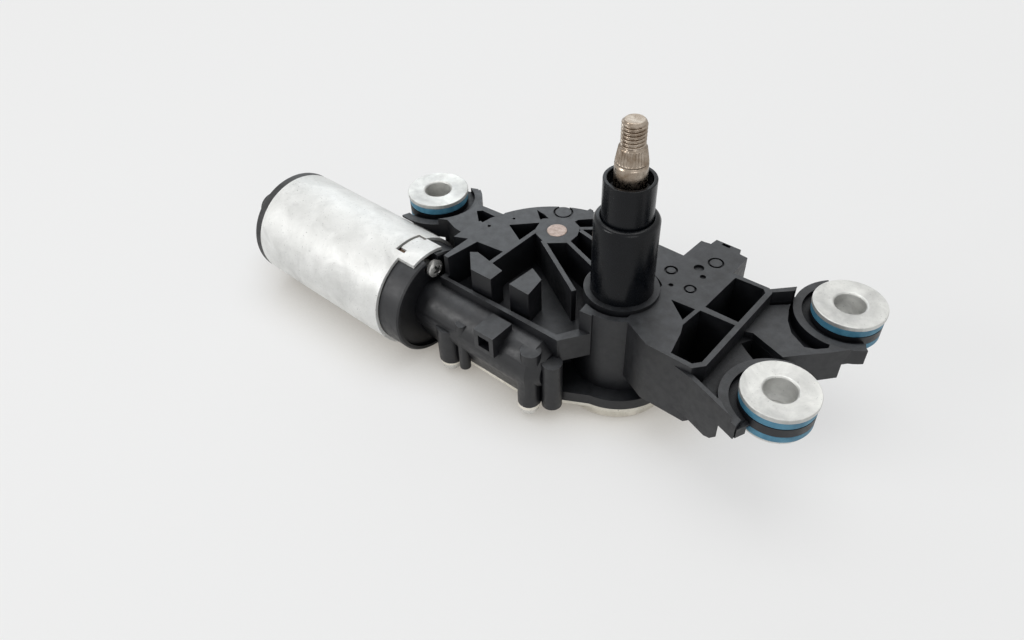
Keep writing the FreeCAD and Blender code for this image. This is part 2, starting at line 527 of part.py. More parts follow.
can_tube = cut("CanTube",
               cylinder("CanOutside", "can_radius", "can_front_x - can_rear_x - seat_gap", "can_rear_x", "motor_y",
                        "motor_level", "X"),
               cylinder("CanInside", CAN_BORE, "can_front_x - can_rear_x + 2", "can_rear_x - 1", "motor_y",
                        "motor_level", "X"))
tab_ring = cut("TabRing",
               cylinder("TabOutside", "can_radius", "tab_length + 1", "can_front_x - 1", "motor_y", "motor_level", "X"),
               cylinder("TabInside", CAN_BORE, "tab_length + 3", "can_front_x - 2", "motor_y", "motor_level", "X"))
tab = doc.addObject("Part::Common", "Tab")
tab.Base = tab_ring
tab.Tool = box("TabLimits", "can_front_x - 2", "can_front_x + tab_length", "motor_y - tab_width / 2",
               "motor_y + tab_width / 2", "motor_level", "0")
tab_slot = box("TabSlot", "can_front_x - 1.6", "can_front_x", "motor_y - tab_slot_width / 2",
               "motor_y + tab_slot_width / 2", "motor_level", "0")
finish(cut("MotorCan", join("CanWithTab", [can_tube, tab]), tab_slot), "motor_can")

# End cap: a drawn steel cover that plugs the can and carries the rear bearing in its boss

CAP_FACE = "(can_rear_x - cap_depth)"
DOME_FACE = f"({CAP_FACE} - cap_dome)"
BOSS_FACE = f"({DOME_FACE} - boss_length)"
turned_piece("end_cap", [
    ("can_rear_x + cap_plug", f"{CAN_BORE} - seat_gap"), ("can_rear_x - seat_gap", f"{CAN_BORE} - seat_gap"),
    ("can_rear_x - seat_gap", "can_radius - seat_gap"), (f"{CAP_FACE} + 1", "can_radius - seat_gap"),
    (CAP_FACE, "can_radius - 1.2"), (DOME_FACE, "boss_radius + 3"), (DOME_FACE, "boss_radius"),
    (f"{BOSS_FACE} + 1", "boss_radius"), (BOSS_FACE, "boss_radius - 1"), (BOSS_FACE, "0"),
    (f"{BOSS_FACE} + cap_sheet", "0"), (f"{BOSS_FACE} + cap_sheet", "boss_radius - cap_sheet"),
    (f"{DOME_FACE} + cap_sheet", "boss_radius - cap_sheet"),
    (f"{CAP_FACE} + cap_sheet", "can_radius - cap_sheet - 3"), ("can_rear_x + cap_plug", "can_radius - cap_sheet - 3"),
], "X", "0", "motor_y", "motor_level")

# Bearings of the armature shaft: sintered sleeves in the boss, the flange neck and the worm tube's end


def sleeve_on_motor_axis(label, inner, outer, low, high):
    return turned_piece(label, barrel_profile(inner, outer, low, high), "X", "0", "motor_y", "motor_level")


sleeve_on_motor_axis("rear_bearing", "rear_journal_radius + running_gap", "boss_radius - cap_sheet - seat_gap / 2",
                     f"{BOSS_FACE} + cap_sheet + 1", f"{BOSS_FACE} + cap_sheet + 1 + bearing_length")
sleeve_on_motor_axis("front_bearing", "armature_shaft_radius + running_gap", "bearing_radius - seat_gap / 2",
                     "flange_front_x - 2", "flange_front_x - 2 + bearing_length")
sleeve_on_motor_axis("worm_bearing", "rear_journal_radius + running_gap", f"{WORM_BORE} - seat_gap / 2",
                     "worm_bore_end - bearing_length / 2 - seat_gap", "worm_bore_end - seat_gap")

# Permanent magnets: two curved ferrite segments against the inside of the can

magnet_pair = []
for number, start in enumerate((0, 180)):
    arc = cylinder(f"MagnetArc{number}", f"{CAN_BORE} - seat_gap", "magnet_length", "core_front_x - core_length - 5",
                   "motor_y", "motor_level", "X")
    arc.setExpression("Angle", bound("magnet_angle"))
    turned_by = FreeCAD.Rotation(Vector(1, 0, 0), start - value("magnet_angle") / 2)
    arc.Placement.Rotation = turned_by * arc.Placement.Rotation
    hollow = cylinder(f"MagnetBore{number}", f"{CAN_BORE} - magnet_thickness", "magnet_length + 2",
                      "core_front_x - core_length - 6", "motor_y", "motor_level", "X")
    magnet_pair.append(cut(f"Magnet{number}", arc, hollow))
finish(group("MagnetPair", magnet_pair), "magnets")

# Armature: slotted core, end windings, commutator and the long shaft with the worm cut on it

core = make_body("ArmatureCore")
disc = make_sketch(core, "CoreDisc", "YZ_Plane", "core_front_x - core_length")
draw_circle(disc, "0", "0", "core_radius")
draw_circle(disc, "0", "0", "armature_shaft_radius + seat_gap / 5")
stack = core.newObject("PartDesign::Pad", "CoreStack")
stack.Profile = disc
stack.setExpression("Length", bound("core_length"))
slot = make_sketch(core, "CoreSlotSketch", "YZ_Plane", "core_front_x")
draw_polygon(slot, rectangle("0 - slot_width / 2", "slot_width / 2", "core_radius - slot_depth", "core_radius + 1"))
slot_cut = core.newObject("PartDesign::Pocket", "CoreSlot")
slot_cut.Profile = slot
slot_cut.setExpression("Length", bound("core_length"))
slots = core.newObject("PartDesign::PolarPattern", "CoreSlots")
slots.Originals = [slot_cut]
slots.Axis = (next(item for item in core.Origin.OriginFeatures if item.Role == "X_Axis"), [""])
slots.setExpression("Occurrences", bound("pole_count"))
core.Tip = slots
finish(core, "armature_core", "0", "motor_y", "motor_level")

coils = []
for end, low in (("Rear", "core_front_x - core_length - winding_height - seat_gap"), ("Front", "core_front_x + seat_gap")):
    coils.append(cut(f"{end}Coil", cylinder(f"{end}CoilBody", "core_radius - 2", "winding_height", low, "motor_y",
                                           "motor_level", "X"),
                     cylinder(f"{end}CoilBore", "armature_shaft_radius + 1.5", "winding_height + 2", f"{low} - 1",
                              "motor_y", "motor_level", "X")))
finish(group("ArmatureWindings", coils), "armature_windings")
COMMUTATOR_REAR = "(core_front_x + winding_height + 1)"
sleeve_on_motor_axis("commutator", "armature_shaft_radius + seat_gap / 5", "commutator_radius", COMMUTATOR_REAR,
                     f"{COMMUTATOR_REAR} + commutator_length")

WORM_REAR = "(hub_x - worm_length / 2)"
WORM_FRONT = "(hub_x + worm_length / 2)"
WORM_PITCH = "(pi * wheel_module)"
shaft = make_body("ArmatureShaft")
turn(shaft, "ShaftTurning", [
    (f"{BOSS_FACE} + cap_sheet + part_gap", "0"), (f"{BOSS_FACE} + cap_sheet + part_gap", "rear_journal_radius"),
    (f"{DOME_FACE} - 2", "rear_journal_radius"), (f"{DOME_FACE} - 2", "armature_shaft_radius"),
    (f"{WORM_REAR} - 2", "armature_shaft_radius"), (WORM_REAR, WORM_ROOT), (WORM_FRONT, WORM_ROOT),
    (f"{WORM_FRONT} + 1.5", "rear_journal_radius"), ("worm_bore_end - part_gap", "rear_journal_radius"),
    ("worm_bore_end - part_gap", "0")], "X")
thread = make_sketch(shaft, "WormThreadSketch", "XZ_Plane")
THREAD_START = f"(hub_x - 3 * {WORM_PITCH} + {WORM_PITCH} / 4)"
draw_polygon(thread, [
    (f"{THREAD_START} - thread_half * 1.6", f"{WORM_ROOT} - 0.3"), (f"{THREAD_START} + thread_half * 1.6", f"{WORM_ROOT} - 0.3"),
    (f"{THREAD_START} + thread_half * 0.6", WORM_TIP), (f"{THREAD_START} - thread_half * 0.6", WORM_TIP)])
helix = shaft.newObject("PartDesign::AdditiveHelix", "WormThread")
helix.Profile = thread
helix.ReferenceAxis = (thread, ["H_Axis"])
helix.Mode = 1
helix.setExpression("Pitch", bound(WORM_PITCH))
helix.setExpression("Turns", "6")
finish(shaft, "armature_shaft", "0", "motor_y", "motor_level")

# Toothed outlines


def flank_angle(radius, pitch, teeth, backlash):
    """Half the angle an involute tooth takes up at a radius."""
    pressure = math.radians(value("pressure_angle"))
    rolled = math.acos(min(1, pitch * math.cos(pressure) / radius))
    thinned = math.pi / (2 * teeth) - backlash / (2 * pitch)
    return thinned + math.tan(pressure) - pressure - math.tan(rolled) + rolled


def toothed_outline(teeth, module, addendum, backlash, first_angle, first=0, count=None):
    """Points round a toothed rim about the origin, with one tooth's middle at first_angle."""
    pitch = teeth * module / 2
    root = pitch - value("tooth_dedendum")
    tip = pitch + addendum
    radii = [root, pitch, (pitch + tip) / 2, tip]
    flank = [(radius, flank_angle(radius, pitch, teeth, backlash)) for radius in radii]
    around = [(radius, -angle) for radius, angle in flank] + flank[::-1]
    points = []
    for tooth in range(first, first + (count or teeth)):
        middle = math.radians(first_angle) + tooth * 2 * math.pi / teeth
        for radius, angle in around:
            points.append(Vector(radius * math.cos(middle + angle), radius * math.sin(middle + angle), 0))
    return points


def prism(points, low, high):
    """A closed outline raised between two levels."""
    face = Part.Face(Part.makePolygon(points + points[:1]))
    return face.extrude(Vector(0, 0, high - low)).translated(Vector(0, 0, low))


def disc_solid(radius, low, high, x=0, y=0):
    return Part.makeCylinder(radius, high - low, Vector(x, y, low))


# Worm wheel: moulded rim of teeth on a thin web, a boss for the axle and a blind floor under it

wheel_top = value(WHEEL_TOP) - value("part_gap") / 4
wheel_bottom = value(WHEEL_BOTTOM)
rim_inner = value(WHEEL_PITCH) - value("tooth_dedendum") - 3.2
wheel_shape = prism(toothed_outline(int(value("wheel_teeth")), value("wheel_module"), value("tooth_addendum"), value("wheel_backlash"),
                                    -90 + 180 / value("wheel_teeth")), wheel_bottom, wheel_top)
boss_radius = value("axle_radius") + 3.6
wheel_shape = wheel_shape.cut(disc_solid(rim_inner, wheel_bottom + value("wheel_web"), wheel_top + 1).cut(
    disc_solid(boss_radius, wheel_bottom, wheel_top + 2)))
spokes = [Part.makeBox(rim_inner, 2, value("wheel_height") - 1, Vector(0, -1, wheel_bottom)) for spoke in range(8)]
for number, spoke in enumerate(spokes):
    spoke.rotate(Vector(0, 0, 0), Vector(0, 0, 1), number * 45)
wheel_shape = wheel_shape.fuse(spokes)
wheel_shape = wheel_shape.cut(disc_solid(value("axle_radius") + value("running_gap"), wheel_bottom + value("wheel_web"),
                                         wheel_top + 1))
wheel = doc.addObject("Part::Feature", "WormWheel")
wheel.Shape = wheel_shape
finish(wheel, "worm_wheel", "hub_x", "hub_y")
finish(cylinder("CrankPin", "crank_pin_radius", "crank_pin_length"), "crank_pin",
       "hub_x + crank_radius * cos(crank_angle)", "hub_y + crank_radius * sin(crank_angle)",
       f"{WHEEL_BOTTOM} - crank_pin_length")
finish(cylinder("GearAxle", "axle_radius", f"0.2 - ({WHEEL_BOTTOM} + wheel_web + seat_gap)"), "gear_axle",
       "hub_x", "hub_y", f"{WHEEL_BOTTOM} + wheel_web + seat_gap")

# Output shaft: turned steel with a plain journal, a knurled cone and a thread, on a slimmer foot

turned_piece("output_shaft", [
    ("0", "shaft_foot_level"), ("lower_shaft_radius", "shaft_foot_level"),
    ("lower_shaft_radius", f"{TUBE_FOOT} + seat_gap"), ("shaft_radius", f"{TUBE_FOOT} + seat_gap"),
    ("shaft_radius", "arm_seat_level - knurl_length - 0.8"), ("knurl_foot_radius", "arm_seat_level - knurl_length"),
    ("knurl_top_radius", "arm_seat_level"), ("thread_radius", "arm_seat_level"),
    ("thread_radius", "arm_seat_level + thread_length - 0.8"), ("thread_radius - 0.8", "arm_seat_level + thread_length"),
    ("0", "arm_seat_level + thread_length")])

turned_piece("spindle_tube", tube_profile("tube_bore_radius", "tube_radius", TUBE_FOOT, "tube_top_level"))
turned_piece("tower_sleeve", [
    ("tube_radius + seat_gap / 2", "0 - tower_foot"), ("tower_radius", "0 - tower_foot"),
    ("tower_radius", "tower_top_level - 1.6"), ("tower_radius - 0.5", "tower_top_level - 0.5"),
    ("tower_radius - 1.6", "tower_top_level"), ("tube_radius + seat_gap / 2", "tower_top_level")])
for label, low, height in (("upper_bush", "tube_top_level - seal_depth - 3.4 - bush_length", "bush_length"),
                           ("lower_bush", f"{TUBE_FOOT} + seat_gap * 2", "bush_length")):
    turned_piece(label, tube_profile("shaft_radius + running_gap", "tube_bore_radius - seat_gap / 2", low,
                                     f"{low} + {height}"))
turned_piece("retaining_ring", tube_profile("shaft_radius + seat_gap / 5", "tube_bore_radius - part_gap",
                                            "tube_top_level - seal_depth - 3",
                                            "tube_top_level - seal_depth - 2"))
turned_piece("shaft_seal", tube_profile("shaft_radius + running_gap", "tube_bore_radius - seat_gap / 2",
                                        "tube_top_level - seal_depth - 1.7", "tube_top_level - seal_depth"))

# Sector drive: pinion on the shaft's foot, a link with a toothed sector, and the guide that keeps them
# in mesh

pinion_top = value("link_level")
pinion_bottom = value(LINK_BOTTOM)
pinion = doc.addObject("Part::Feature", "DrivePinion")
pinion.Shape = prism(toothed_outline(int(value("pinion_teeth")), value("drive_module"), value("drive_addendum"), value("drive_backlash"),
                                     value("guide_angle")), pinion_bottom, pinion_top).cut(
    disc_solid(value("lower_shaft_radius") + value("seat_gap") / 5, pinion_bottom - 1, pinion_top + 1))
finish(pinion, "drive_pinion")

PIVOT_X = f"({PIVOT_REACH} * cos(guide_angle))"
PIVOT_Y = f"({PIVOT_REACH} * sin(guide_angle))"
sector_facing = value("guide_angle") + 180
sector_count = int(value("sector_span"))
first_tooth = -(sector_count // 2)
teeth = toothed_outline(int(value("sector_teeth")), value("drive_module"), value("drive_addendum"), value("drive_backlash"),
                        sector_facing + 180 / value("sector_teeth"), first_tooth, sector_count)
sector_shape = prism(teeth + [Vector(0, 0, 0)], pinion_bottom, pinion_top)
sector_shape = sector_shape.fuse(disc_solid(value("link_pin_radius") + 2.4, pinion_bottom, pinion_top))
arm_angle = value("link_angle")
arm_box = Part.makeBox(value("link_length"), value("link_width") * 0.7, value("link_thickness"),
                       Vector(0, -value("link_width") * 0.35, pinion_bottom))
arm_box.rotate(Vector(0, 0, 0), Vector(0, 0, 1), arm_angle)
eye_x = value("link_length") * math.cos(math.radians(arm_angle))
eye_y = value("link_length") * math.sin(math.radians(arm_angle))
sector_shape = sector_shape.fuse([arm_box, disc_solid(value("link_width") / 2, pinion_bottom, pinion_top, eye_x, eye_y)])
sector_shape = sector_shape.cut(disc_solid(value("link_pin_radius") + value("seat_gap") / 5, pinion_bottom - 1, pinion_top + 1))
sector_shape = sector_shape.cut(disc_solid(value("crank_pin_radius") + value("running_gap"), pinion_bottom - 1,
                                           pinion_top + 1, eye_x, eye_y))
sector = doc.addObject("Part::Feature", "SectorLink")
sector.Shape = sector_shape
finish(sector, "sector_link", PIVOT_X, PIVOT_Y)

guide = make_body("GuideLink")
pad(guide, "GuideBar", GUIDE_BOTTOM, GUIDE_TOP, rectangle("0", PIVOT_REACH, "0 - link_width / 3", "link_width / 3"))
pad(guide, "GuideShaftEye", GUIDE_BOTTOM, GUIDE_TOP, circles=[("0", "0", "lower_shaft_radius + 2.4")])
pad(guide, "GuidePinEye", GUIDE_BOTTOM, GUIDE_TOP, circles=[(PIVOT_REACH, "0", "link_pin_radius + 1.8")])
pocket(guide, "GuideShaftHole", GUIDE_BOTTOM, GUIDE_TOP, circles=[("0", "0", "lower_shaft_radius + running_gap")])
pocket(guide, "GuidePinHole", GUIDE_BOTTOM, GUIDE_TOP, circles=[(PIVOT_REACH, "0", "link_pin_radius + running_gap")])
guide.Placement.Rotation = FreeCAD.Rotation(Vector(0, 0, 1), value("guide_angle"))
finish(guide, "guide_link")
finish(cylinder("LinkPin", "link_pin_radius", f"link_level - {GUIDE_BOTTOM}"), "link_pin", PIVOT_X, PIVOT_Y, GUIDE_BOTTOM)

# Bottom cover: a pressed steel lid with a round bulge that holds the foot of the output shaft

cover = make_body("BottomCover")
cover_circles = [("hub_x", "hub_y", f"{DRUM_RADIUS} + base_lip"), ("0", "0", "drum_flare_radius"),
                 ("lobe_x", "lobe_y", "lobe_radius + wall")]
cover_circles += [(x, y, "boss_outer") for x, y in COVER_SCREWS]
for number, circle in enumerate(cover_circles):
    pad(cover, f"CoverDisc{number}", f"{COVER_LEVEL} - cover_sheet", COVER_LEVEL, circles=[circle])
pad(cover, "CoverPlate", f"{COVER_LEVEL} - cover_sheet", COVER_LEVEL, plan("near_base"))
turn(cover, "CoverBulge", [("0", f"{COVER_LEVEL} - cover_sheet - cover_bulge_depth"),
                           ("cover_bulge_radius - 1", f"{COVER_LEVEL} - cover_sheet - cover_bulge_depth"),
                           ("cover_bulge_radius", f"{COVER_LEVEL} - cover_sheet - cover_bulge_depth + 1"),
                           ("cover_bulge_radius + 1", f"{COVER_LEVEL} - cover_sheet / 2"),
                           ("0", f"{COVER_LEVEL} - cover_sheet / 2")])
pocket(cover, "CoverHollow", f"{COVER_LEVEL} - cover_bulge_depth", COVER_LEVEL,
       circles=[("0", "0", "collar_radius - wall")])
pocket(cover, "CoverScrewHoles", f"{COVER_LEVEL} - cover_sheet", COVER_LEVEL,
       circles=[(x, y, "screw_radius + 0.3") for x, y in COVER_SCREWS])
pocket(cover, "CoverFlangeNotch", f"{COVER_LEVEL} - cover_sheet", COVER_LEVEL,
       rectangle("can_rear_x", "flange_front_x + 2", "motor_y - can_radius", "motor_y + 17"))
cover.Tip = cover.Group[-1]
finish(cover, "bottom_cover")
turned_piece("foot_bush", tube_profile("lower_shaft_radius + running_gap", "lower_shaft_radius + 3.4",
                                       f"{COVER_LEVEL} - cover_bulge_depth + seat_gap", f"{GUIDE_BOTTOM} - part_gap"))

# Screws: five cover screws from below and one on the motor flange's face

cover_screws = []
for number, (x, y) in enumerate(COVER_SCREWS):
    under = f"{COVER_LEVEL} - cover_sheet"
    cover_screws.append(join(f"CoverScrew{number}", [
        cylinder(f"CoverShank{number}", "screw_radius", "screw_length - 1", x, y, under),
        cylinder(f"CoverHead{number}", "screw_head_radius", "screw_head_height", x, y, f"{under} - screw_head_height - seat_gap")]))
finish(group("CoverScrewSet", cover_screws), "cover_screws")
finish(join("FlangeScrew", [
    cylinder("FlangeShank", "screw_radius", "flange_screw_length", "flange_front_x - flange_screw_length + 1",
             "flange_screw_y", "flange_screw_level", "X"),
    cylinder("FlangeHead", "screw_head_radius", "screw_head_height", "flange_front_x + seat_gap / 5", "flange_screw_y",
             "flange_screw_level", "X")]), "flange_screw")

# Bushings: plated sleeve with its top washer, lower washer and rubber grommet, at each arm's eye

LOWER_RING = "(0 - bushing_height + lower_washer_thickness)"
for side, (x, y) in BUSHINGS.items():
    turned_piece(f"{side}_bushing", [
        ("washer_hole_radius", LOWER_RING), (SLEEVE_OUTER, LOWER_RING), (SLEEVE_OUTER, "0 - washer_thickness"),
        ("washer_radius", "0 - washer_thickness"), ("washer_radius", "0"), ("washer_hole_radius + 0.5", "0"),
        ("washer_hole_radius", "0 - 0.5")], "Z", x, y)
    turned_piece(f"{side}_lower_washer", tube_profile("washer_hole_radius", "lower_washer_radius", "0 - bushing_height",
                                                      f"{LOWER_RING} - seat_gap / 5"), "Z", x, y)
    turned_piece(f"{side}_grommet", [
        (f"{SLEEVE_OUTER} + seat_gap / 2", f"{LOWER_RING} + seat_gap / 5"), ("eye_radius", f"{LOWER_RING} + seat_gap / 5"),
        ("eye_radius", f"{EYE_BOTTOM} - seat_gap / 5"), (f"{WAIST_RADIUS} - seat_gap / 2", f"{EYE_BOTTOM} - seat_gap / 5"),
        (f"{WAIST_RADIUS} - seat_gap / 2", f"{EYE_TOP} + seat_gap / 5"), ("eye_radius", f"{EYE_TOP} + seat_gap / 5"),
        ("eye_radius", "0 - washer_thickness - seat_gap / 5"),
        (f"{SLEEVE_OUTER} + seat_gap / 2", "0 - washer_thickness - seat_gap / 5")], "Z", x, y)

# Brush gear: an insulating plate with two boxed carbon brushes and two chokes, inside the can's mouth

PLATE_FRONT = "(can_front_x - 1)"
sleeve_on_motor_axis("brush_plate", "commutator_radius + 2", f"{CAN_BORE} - seat_gap", f"{PLATE_FRONT} - plate_thickness",
                     PLATE_FRONT)
brush_set = []
box_set = []
choke_set = []
BRUSH_X = f"({PLATE_FRONT} - plate_thickness - brush_width / 2 - 2)"
for number, facing in enumerate(("", "0 - ")):
    reach = [f"motor_y + {facing}({radius})" for radius in
             ("commutator_radius + part_gap", "commutator_radius + part_gap + brush_length",
              "commutator_radius + 1.6", "commutator_radius + part_gap + brush_length + 0.6")]
    near, far = (reach[0], reach[1]) if number == 0 else (reach[1], reach[0])
    brush_set.append(box(f"Brush{number}", f"{BRUSH_X} - brush_width / 2", f"{BRUSH_X} + brush_width / 2", near, far,
                         "motor_level - brush_width / 2", "motor_level + brush_width / 2"))
    near, far = (reach[2], reach[3]) if number == 0 else (reach[3], reach[2])
    shell = box(f"BrushShell{number}", f"{BRUSH_X} - brush_width / 2 - 0.9", f"{PLATE_FRONT} - plate_thickness",
                near, far, "motor_level - brush_width / 2 - 0.9", "motor_level + brush_width / 2 + 0.9")
    hollow = box(f"BrushRoom{number}", f"{BRUSH_X} - brush_width / 2 - 0.1", f"{BRUSH_X} + brush_width / 2 + 0.1",
                 f"{near} - 1", f"{far} + 1", "motor_level - brush_width / 2 - 0.1", "motor_level + brush_width / 2 + 0.1")
    box_set.append(cut(f"BrushBox{number}", shell, hollow))
    side = "+" if number == 0 else "-"
    choke_set.append(cylinder(f"Choke{number}", "choke_radius", "choke_length", f"{PLATE_FRONT} - plate_thickness - choke_length",
                              f"motor_y {side} 11", f"motor_level {side} 11", "X"))
finish(group("BrushSet", brush_set), "carbon_brushes")
finish(group("BrushBoxes", box_set), "brush_holders")
finish(group("ChokeSet", choke_set), "chokes")

# Connector blades in the head's socket

blades = []
for number in range(int(value("blade_count"))):
    middle = f"(socket_x + {number + 0.5} * socket_width / blade_count)"
    blades.append(box(f"Blade{number}", f"{middle} - blade_width / 2", f"{middle} + blade_width / 2", "socket_floor - 3",
                      "socket_floor + blade_length", "socket_level - 0.4", "socket_level + 0.4"))
finish(group("BladeSet", blades), "connector_blades")

doc.recompute()
for item in doc.Objects:
    if "Invalid" in item.State or "Error" in item.State:
        raise RuntimeError(f"{item.Name} failed: {item.State}")
for piece in pieces:
    if piece.Shape.isNull() or not piece.Shape.isValid():
        raise RuntimeError(f"{piece.Label} has no valid shape")

os.makedirs("parts", exist_ok=True)
for piece in pieces:
    piece.Shape.exportStep(f"parts/{piece.Label}.step")
    print(piece.Label, len(piece.Shape.Solids), round(piece.Shape.Volume, 1))
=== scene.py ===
import json
import math

import bmesh
import bpy
from mathutils import Matrix, Vector

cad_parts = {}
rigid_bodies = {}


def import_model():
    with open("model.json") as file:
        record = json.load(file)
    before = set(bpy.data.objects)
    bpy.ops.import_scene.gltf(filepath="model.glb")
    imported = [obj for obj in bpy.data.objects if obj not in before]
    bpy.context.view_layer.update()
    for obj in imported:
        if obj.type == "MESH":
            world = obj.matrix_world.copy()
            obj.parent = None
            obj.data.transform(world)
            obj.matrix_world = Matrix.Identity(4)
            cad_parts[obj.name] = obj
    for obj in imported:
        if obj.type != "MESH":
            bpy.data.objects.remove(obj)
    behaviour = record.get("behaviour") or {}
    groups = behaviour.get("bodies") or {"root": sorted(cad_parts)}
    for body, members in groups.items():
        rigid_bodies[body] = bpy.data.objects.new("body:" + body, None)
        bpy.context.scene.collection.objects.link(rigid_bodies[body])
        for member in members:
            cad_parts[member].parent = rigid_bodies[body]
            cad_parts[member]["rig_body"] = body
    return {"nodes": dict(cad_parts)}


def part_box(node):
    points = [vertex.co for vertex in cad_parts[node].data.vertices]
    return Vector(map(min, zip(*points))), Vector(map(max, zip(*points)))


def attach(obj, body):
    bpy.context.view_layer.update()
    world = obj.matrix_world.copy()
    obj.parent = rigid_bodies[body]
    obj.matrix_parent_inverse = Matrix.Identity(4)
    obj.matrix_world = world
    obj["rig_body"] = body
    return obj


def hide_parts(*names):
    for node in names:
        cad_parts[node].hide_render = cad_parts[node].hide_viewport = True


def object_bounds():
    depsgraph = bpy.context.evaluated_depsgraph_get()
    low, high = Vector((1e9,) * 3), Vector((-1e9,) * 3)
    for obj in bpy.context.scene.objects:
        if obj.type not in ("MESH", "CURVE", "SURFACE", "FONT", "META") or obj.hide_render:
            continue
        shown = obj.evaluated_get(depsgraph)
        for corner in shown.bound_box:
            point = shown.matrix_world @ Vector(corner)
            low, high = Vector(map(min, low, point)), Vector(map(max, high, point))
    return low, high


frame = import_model()
cad_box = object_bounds()
MM = 0.001

# Camera: it stands at the near side, above the two arms, and looks down across the gear housing towards
# the motor's far end, as the photograph does.
CAMERA_PLACE = Vector((112.9, -181.6, 125.8)) * MM
CAMERA_YAW, CAMERA_PITCH, CAMERA_ROLL = (math.radians(angle) for angle in (132.38, 42.93, 2.52))
SENSOR_WIDTH, FOCAL_PIXELS, PICTURE_WIDTH = 36, 790.1, 1024
look = Vector((math.cos(CAMERA_YAW) * math.cos(CAMERA_PITCH), math.sin(CAMERA_YAW) * math.cos(CAMERA_PITCH),
               -math.sin(CAMERA_PITCH)))
level_right = Vector((math.sin(CAMERA_YAW), -math.cos(CAMERA_YAW), 0))
level_down = look.cross(level_right)
right = math.cos(CAMERA_ROLL) * level_right + math.sin(CAMERA_ROLL) * level_down
down = -math.sin(CAMERA_ROLL) * level_right + math.cos(CAMERA_ROLL) * level_down
camera_data = bpy.data.cameras.new("photo_camera")
camera_data.sensor_width = SENSOR_WIDTH
camera_data.lens = SENSOR_WIDTH * FOCAL_PIXELS / PICTURE_WIDTH
camera_data.clip_start = 0.01
camera = bpy.data.objects.new("photo_camera", camera_data)
camera.matrix_world = Matrix((right, -down, -look)).transposed().to_4x4()
camera.matrix_world.translation = CAMERA_PLACE
bpy.context.scene.collection.objects.link(camera)
bpy.context.scene.camera = camera

# Floor: a plain off-white table top, a hair below the lowest piece. Close to the part its own glow is
# painted darker and warmer, a painted contact shadow, and the lamps' light has a share there; further out
# its own even tone takes over from the light of the lamps.


def add(tree, kind, settings=None, **sockets):
    """Put a node in a material; sockets are values or other nodes' outputs, by socket name."""
    node = tree.nodes.new(kind)
    for name, setting in (settings or {}).items():
        setattr(node, name, setting)
    for name, source in sockets.items():
        socket = node.inputs[name.replace("_", " ")]
        if isinstance(source, bpy.types.NodeSocket):
            tree.links.new(source, socket)
        else:
            socket.default_value = source
    return node


def ramp(tree, factor, *stops):
    """Colours or greys along a factor; stops are (position, colour)."""
    band = add(tree, "ShaderNodeValToRGB", None, Fac=factor)
    elements = band.color_ramp.elements
    while len(elements) < len(stops):
        elements.new(0.5)
    for element, (position, colour) in zip(elements, stops):
        element.position = position
        element.color = (*colour, 1) if isinstance(colour, tuple) else (colour, colour, colour, 1)
    return band.outputs["Color"]


def math_of(tree, operation, first, second):
    """The result of a product or comparison of two sockets or numbers."""
    node = tree.nodes.new("ShaderNodeMath")
    node.operation = operation
    for socket, source in zip(node.inputs, (first, second)):
        if isinstance(source, bpy.types.NodeSocket):
            tree.links.new(source, socket)
        else:
            socket.default_value = source
    return node.outputs[0]


def mix_shaders(tree, factor, under, over):
    """The shader over in place of the shader under by factor."""
    mixer = tree.nodes.new("ShaderNodeMixShader")
    for socket, source in zip(mixer.inputs, (factor, under, over)):
        tree.links.new(source, socket)
    return mixer.outputs[0]


FLOOR_LEVEL = cad_box[0][2] - 0.0002
FLOOR_REACH = 9
FLOOR_SHADE_REACH = 0.026
TONE_SHARE_NEAR, TONE_SHARE_FAR, FADE_START, FADE_END = 0.68, 1.0, 0.18, 0.8
floor_mesh = bpy.data.meshes.new("floor")
floor_mesh.from_pydata([(x * FLOOR_REACH, y * FLOOR_REACH, FLOOR_LEVEL)
                        for x, y in ((-1, -1), (1, -1), (1, 1), (-1, 1))], [], [(0, 1, 2, 3)])
floor = bpy.data.objects.new("floor", floor_mesh)
bpy.context.scene.collection.objects.link(floor)
floor_finish = bpy.data.materials.new("pale_table")
floor_finish.use_nodes = True
floor_tree = floor_finish.node_tree
floor_tree.nodes.clear()
# Painted contact shadow: the floor's glow darkens and warms where ambient occlusion finds the part close
# by.
floor_open = add(floor_tree, "ShaderNodeAmbientOcclusion", {"samples": 6},
                 Distance=FLOOR_SHADE_REACH).outputs["AO"]
floor_tone_with_painted_shadow = ramp(floor_tree, floor_open, (0.1, (0.30, 0.27, 0.23)), (0.55, (0.72, 0.70, 0.66)),
                  (0.88, (0.858, 0.858, 0.855)))
floor_lit = add(floor_tree, "ShaderNodeBsdfDiffuse", None, Color=(0.83, 0.83, 0.825, 1)).outputs[0]
floor_glow_with_painted_shadow = add(floor_tree, "ShaderNodeEmission", None, Color=floor_tone_with_painted_shadow).outputs[0]
floor_place = floor_tree.nodes.new("ShaderNodeNewGeometry").outputs["Position"]
floor_distance = add(floor_tree, "ShaderNodeVectorMath", {"operation": "LENGTH"}, Vector=floor_place)
tone_share = add(floor_tree, "ShaderNodeMapRange", None, Value=floor_distance.outputs["Value"],
                 From_Min=FADE_START, From_Max=FADE_END, To_Min=TONE_SHARE_NEAR, To_Max=TONE_SHARE_FAR)
floor_path = floor_tree.nodes.new("ShaderNodeLightPath").outputs
floor_seen = math_of(floor_tree, "MAXIMUM", floor_path["Is Camera Ray"], floor_path["Is Glossy Ray"])
floor_share = math_of(floor_tree, "MULTIPLY", floor_seen, tone_share.outputs["Result"])
add(floor_tree, "ShaderNodeOutputMaterial", None,
    Surface=mix_shaders(floor_tree, floor_share, floor_lit, floor_glow_with_painted_shadow))
floor_mesh.materials.append(floor_finish)

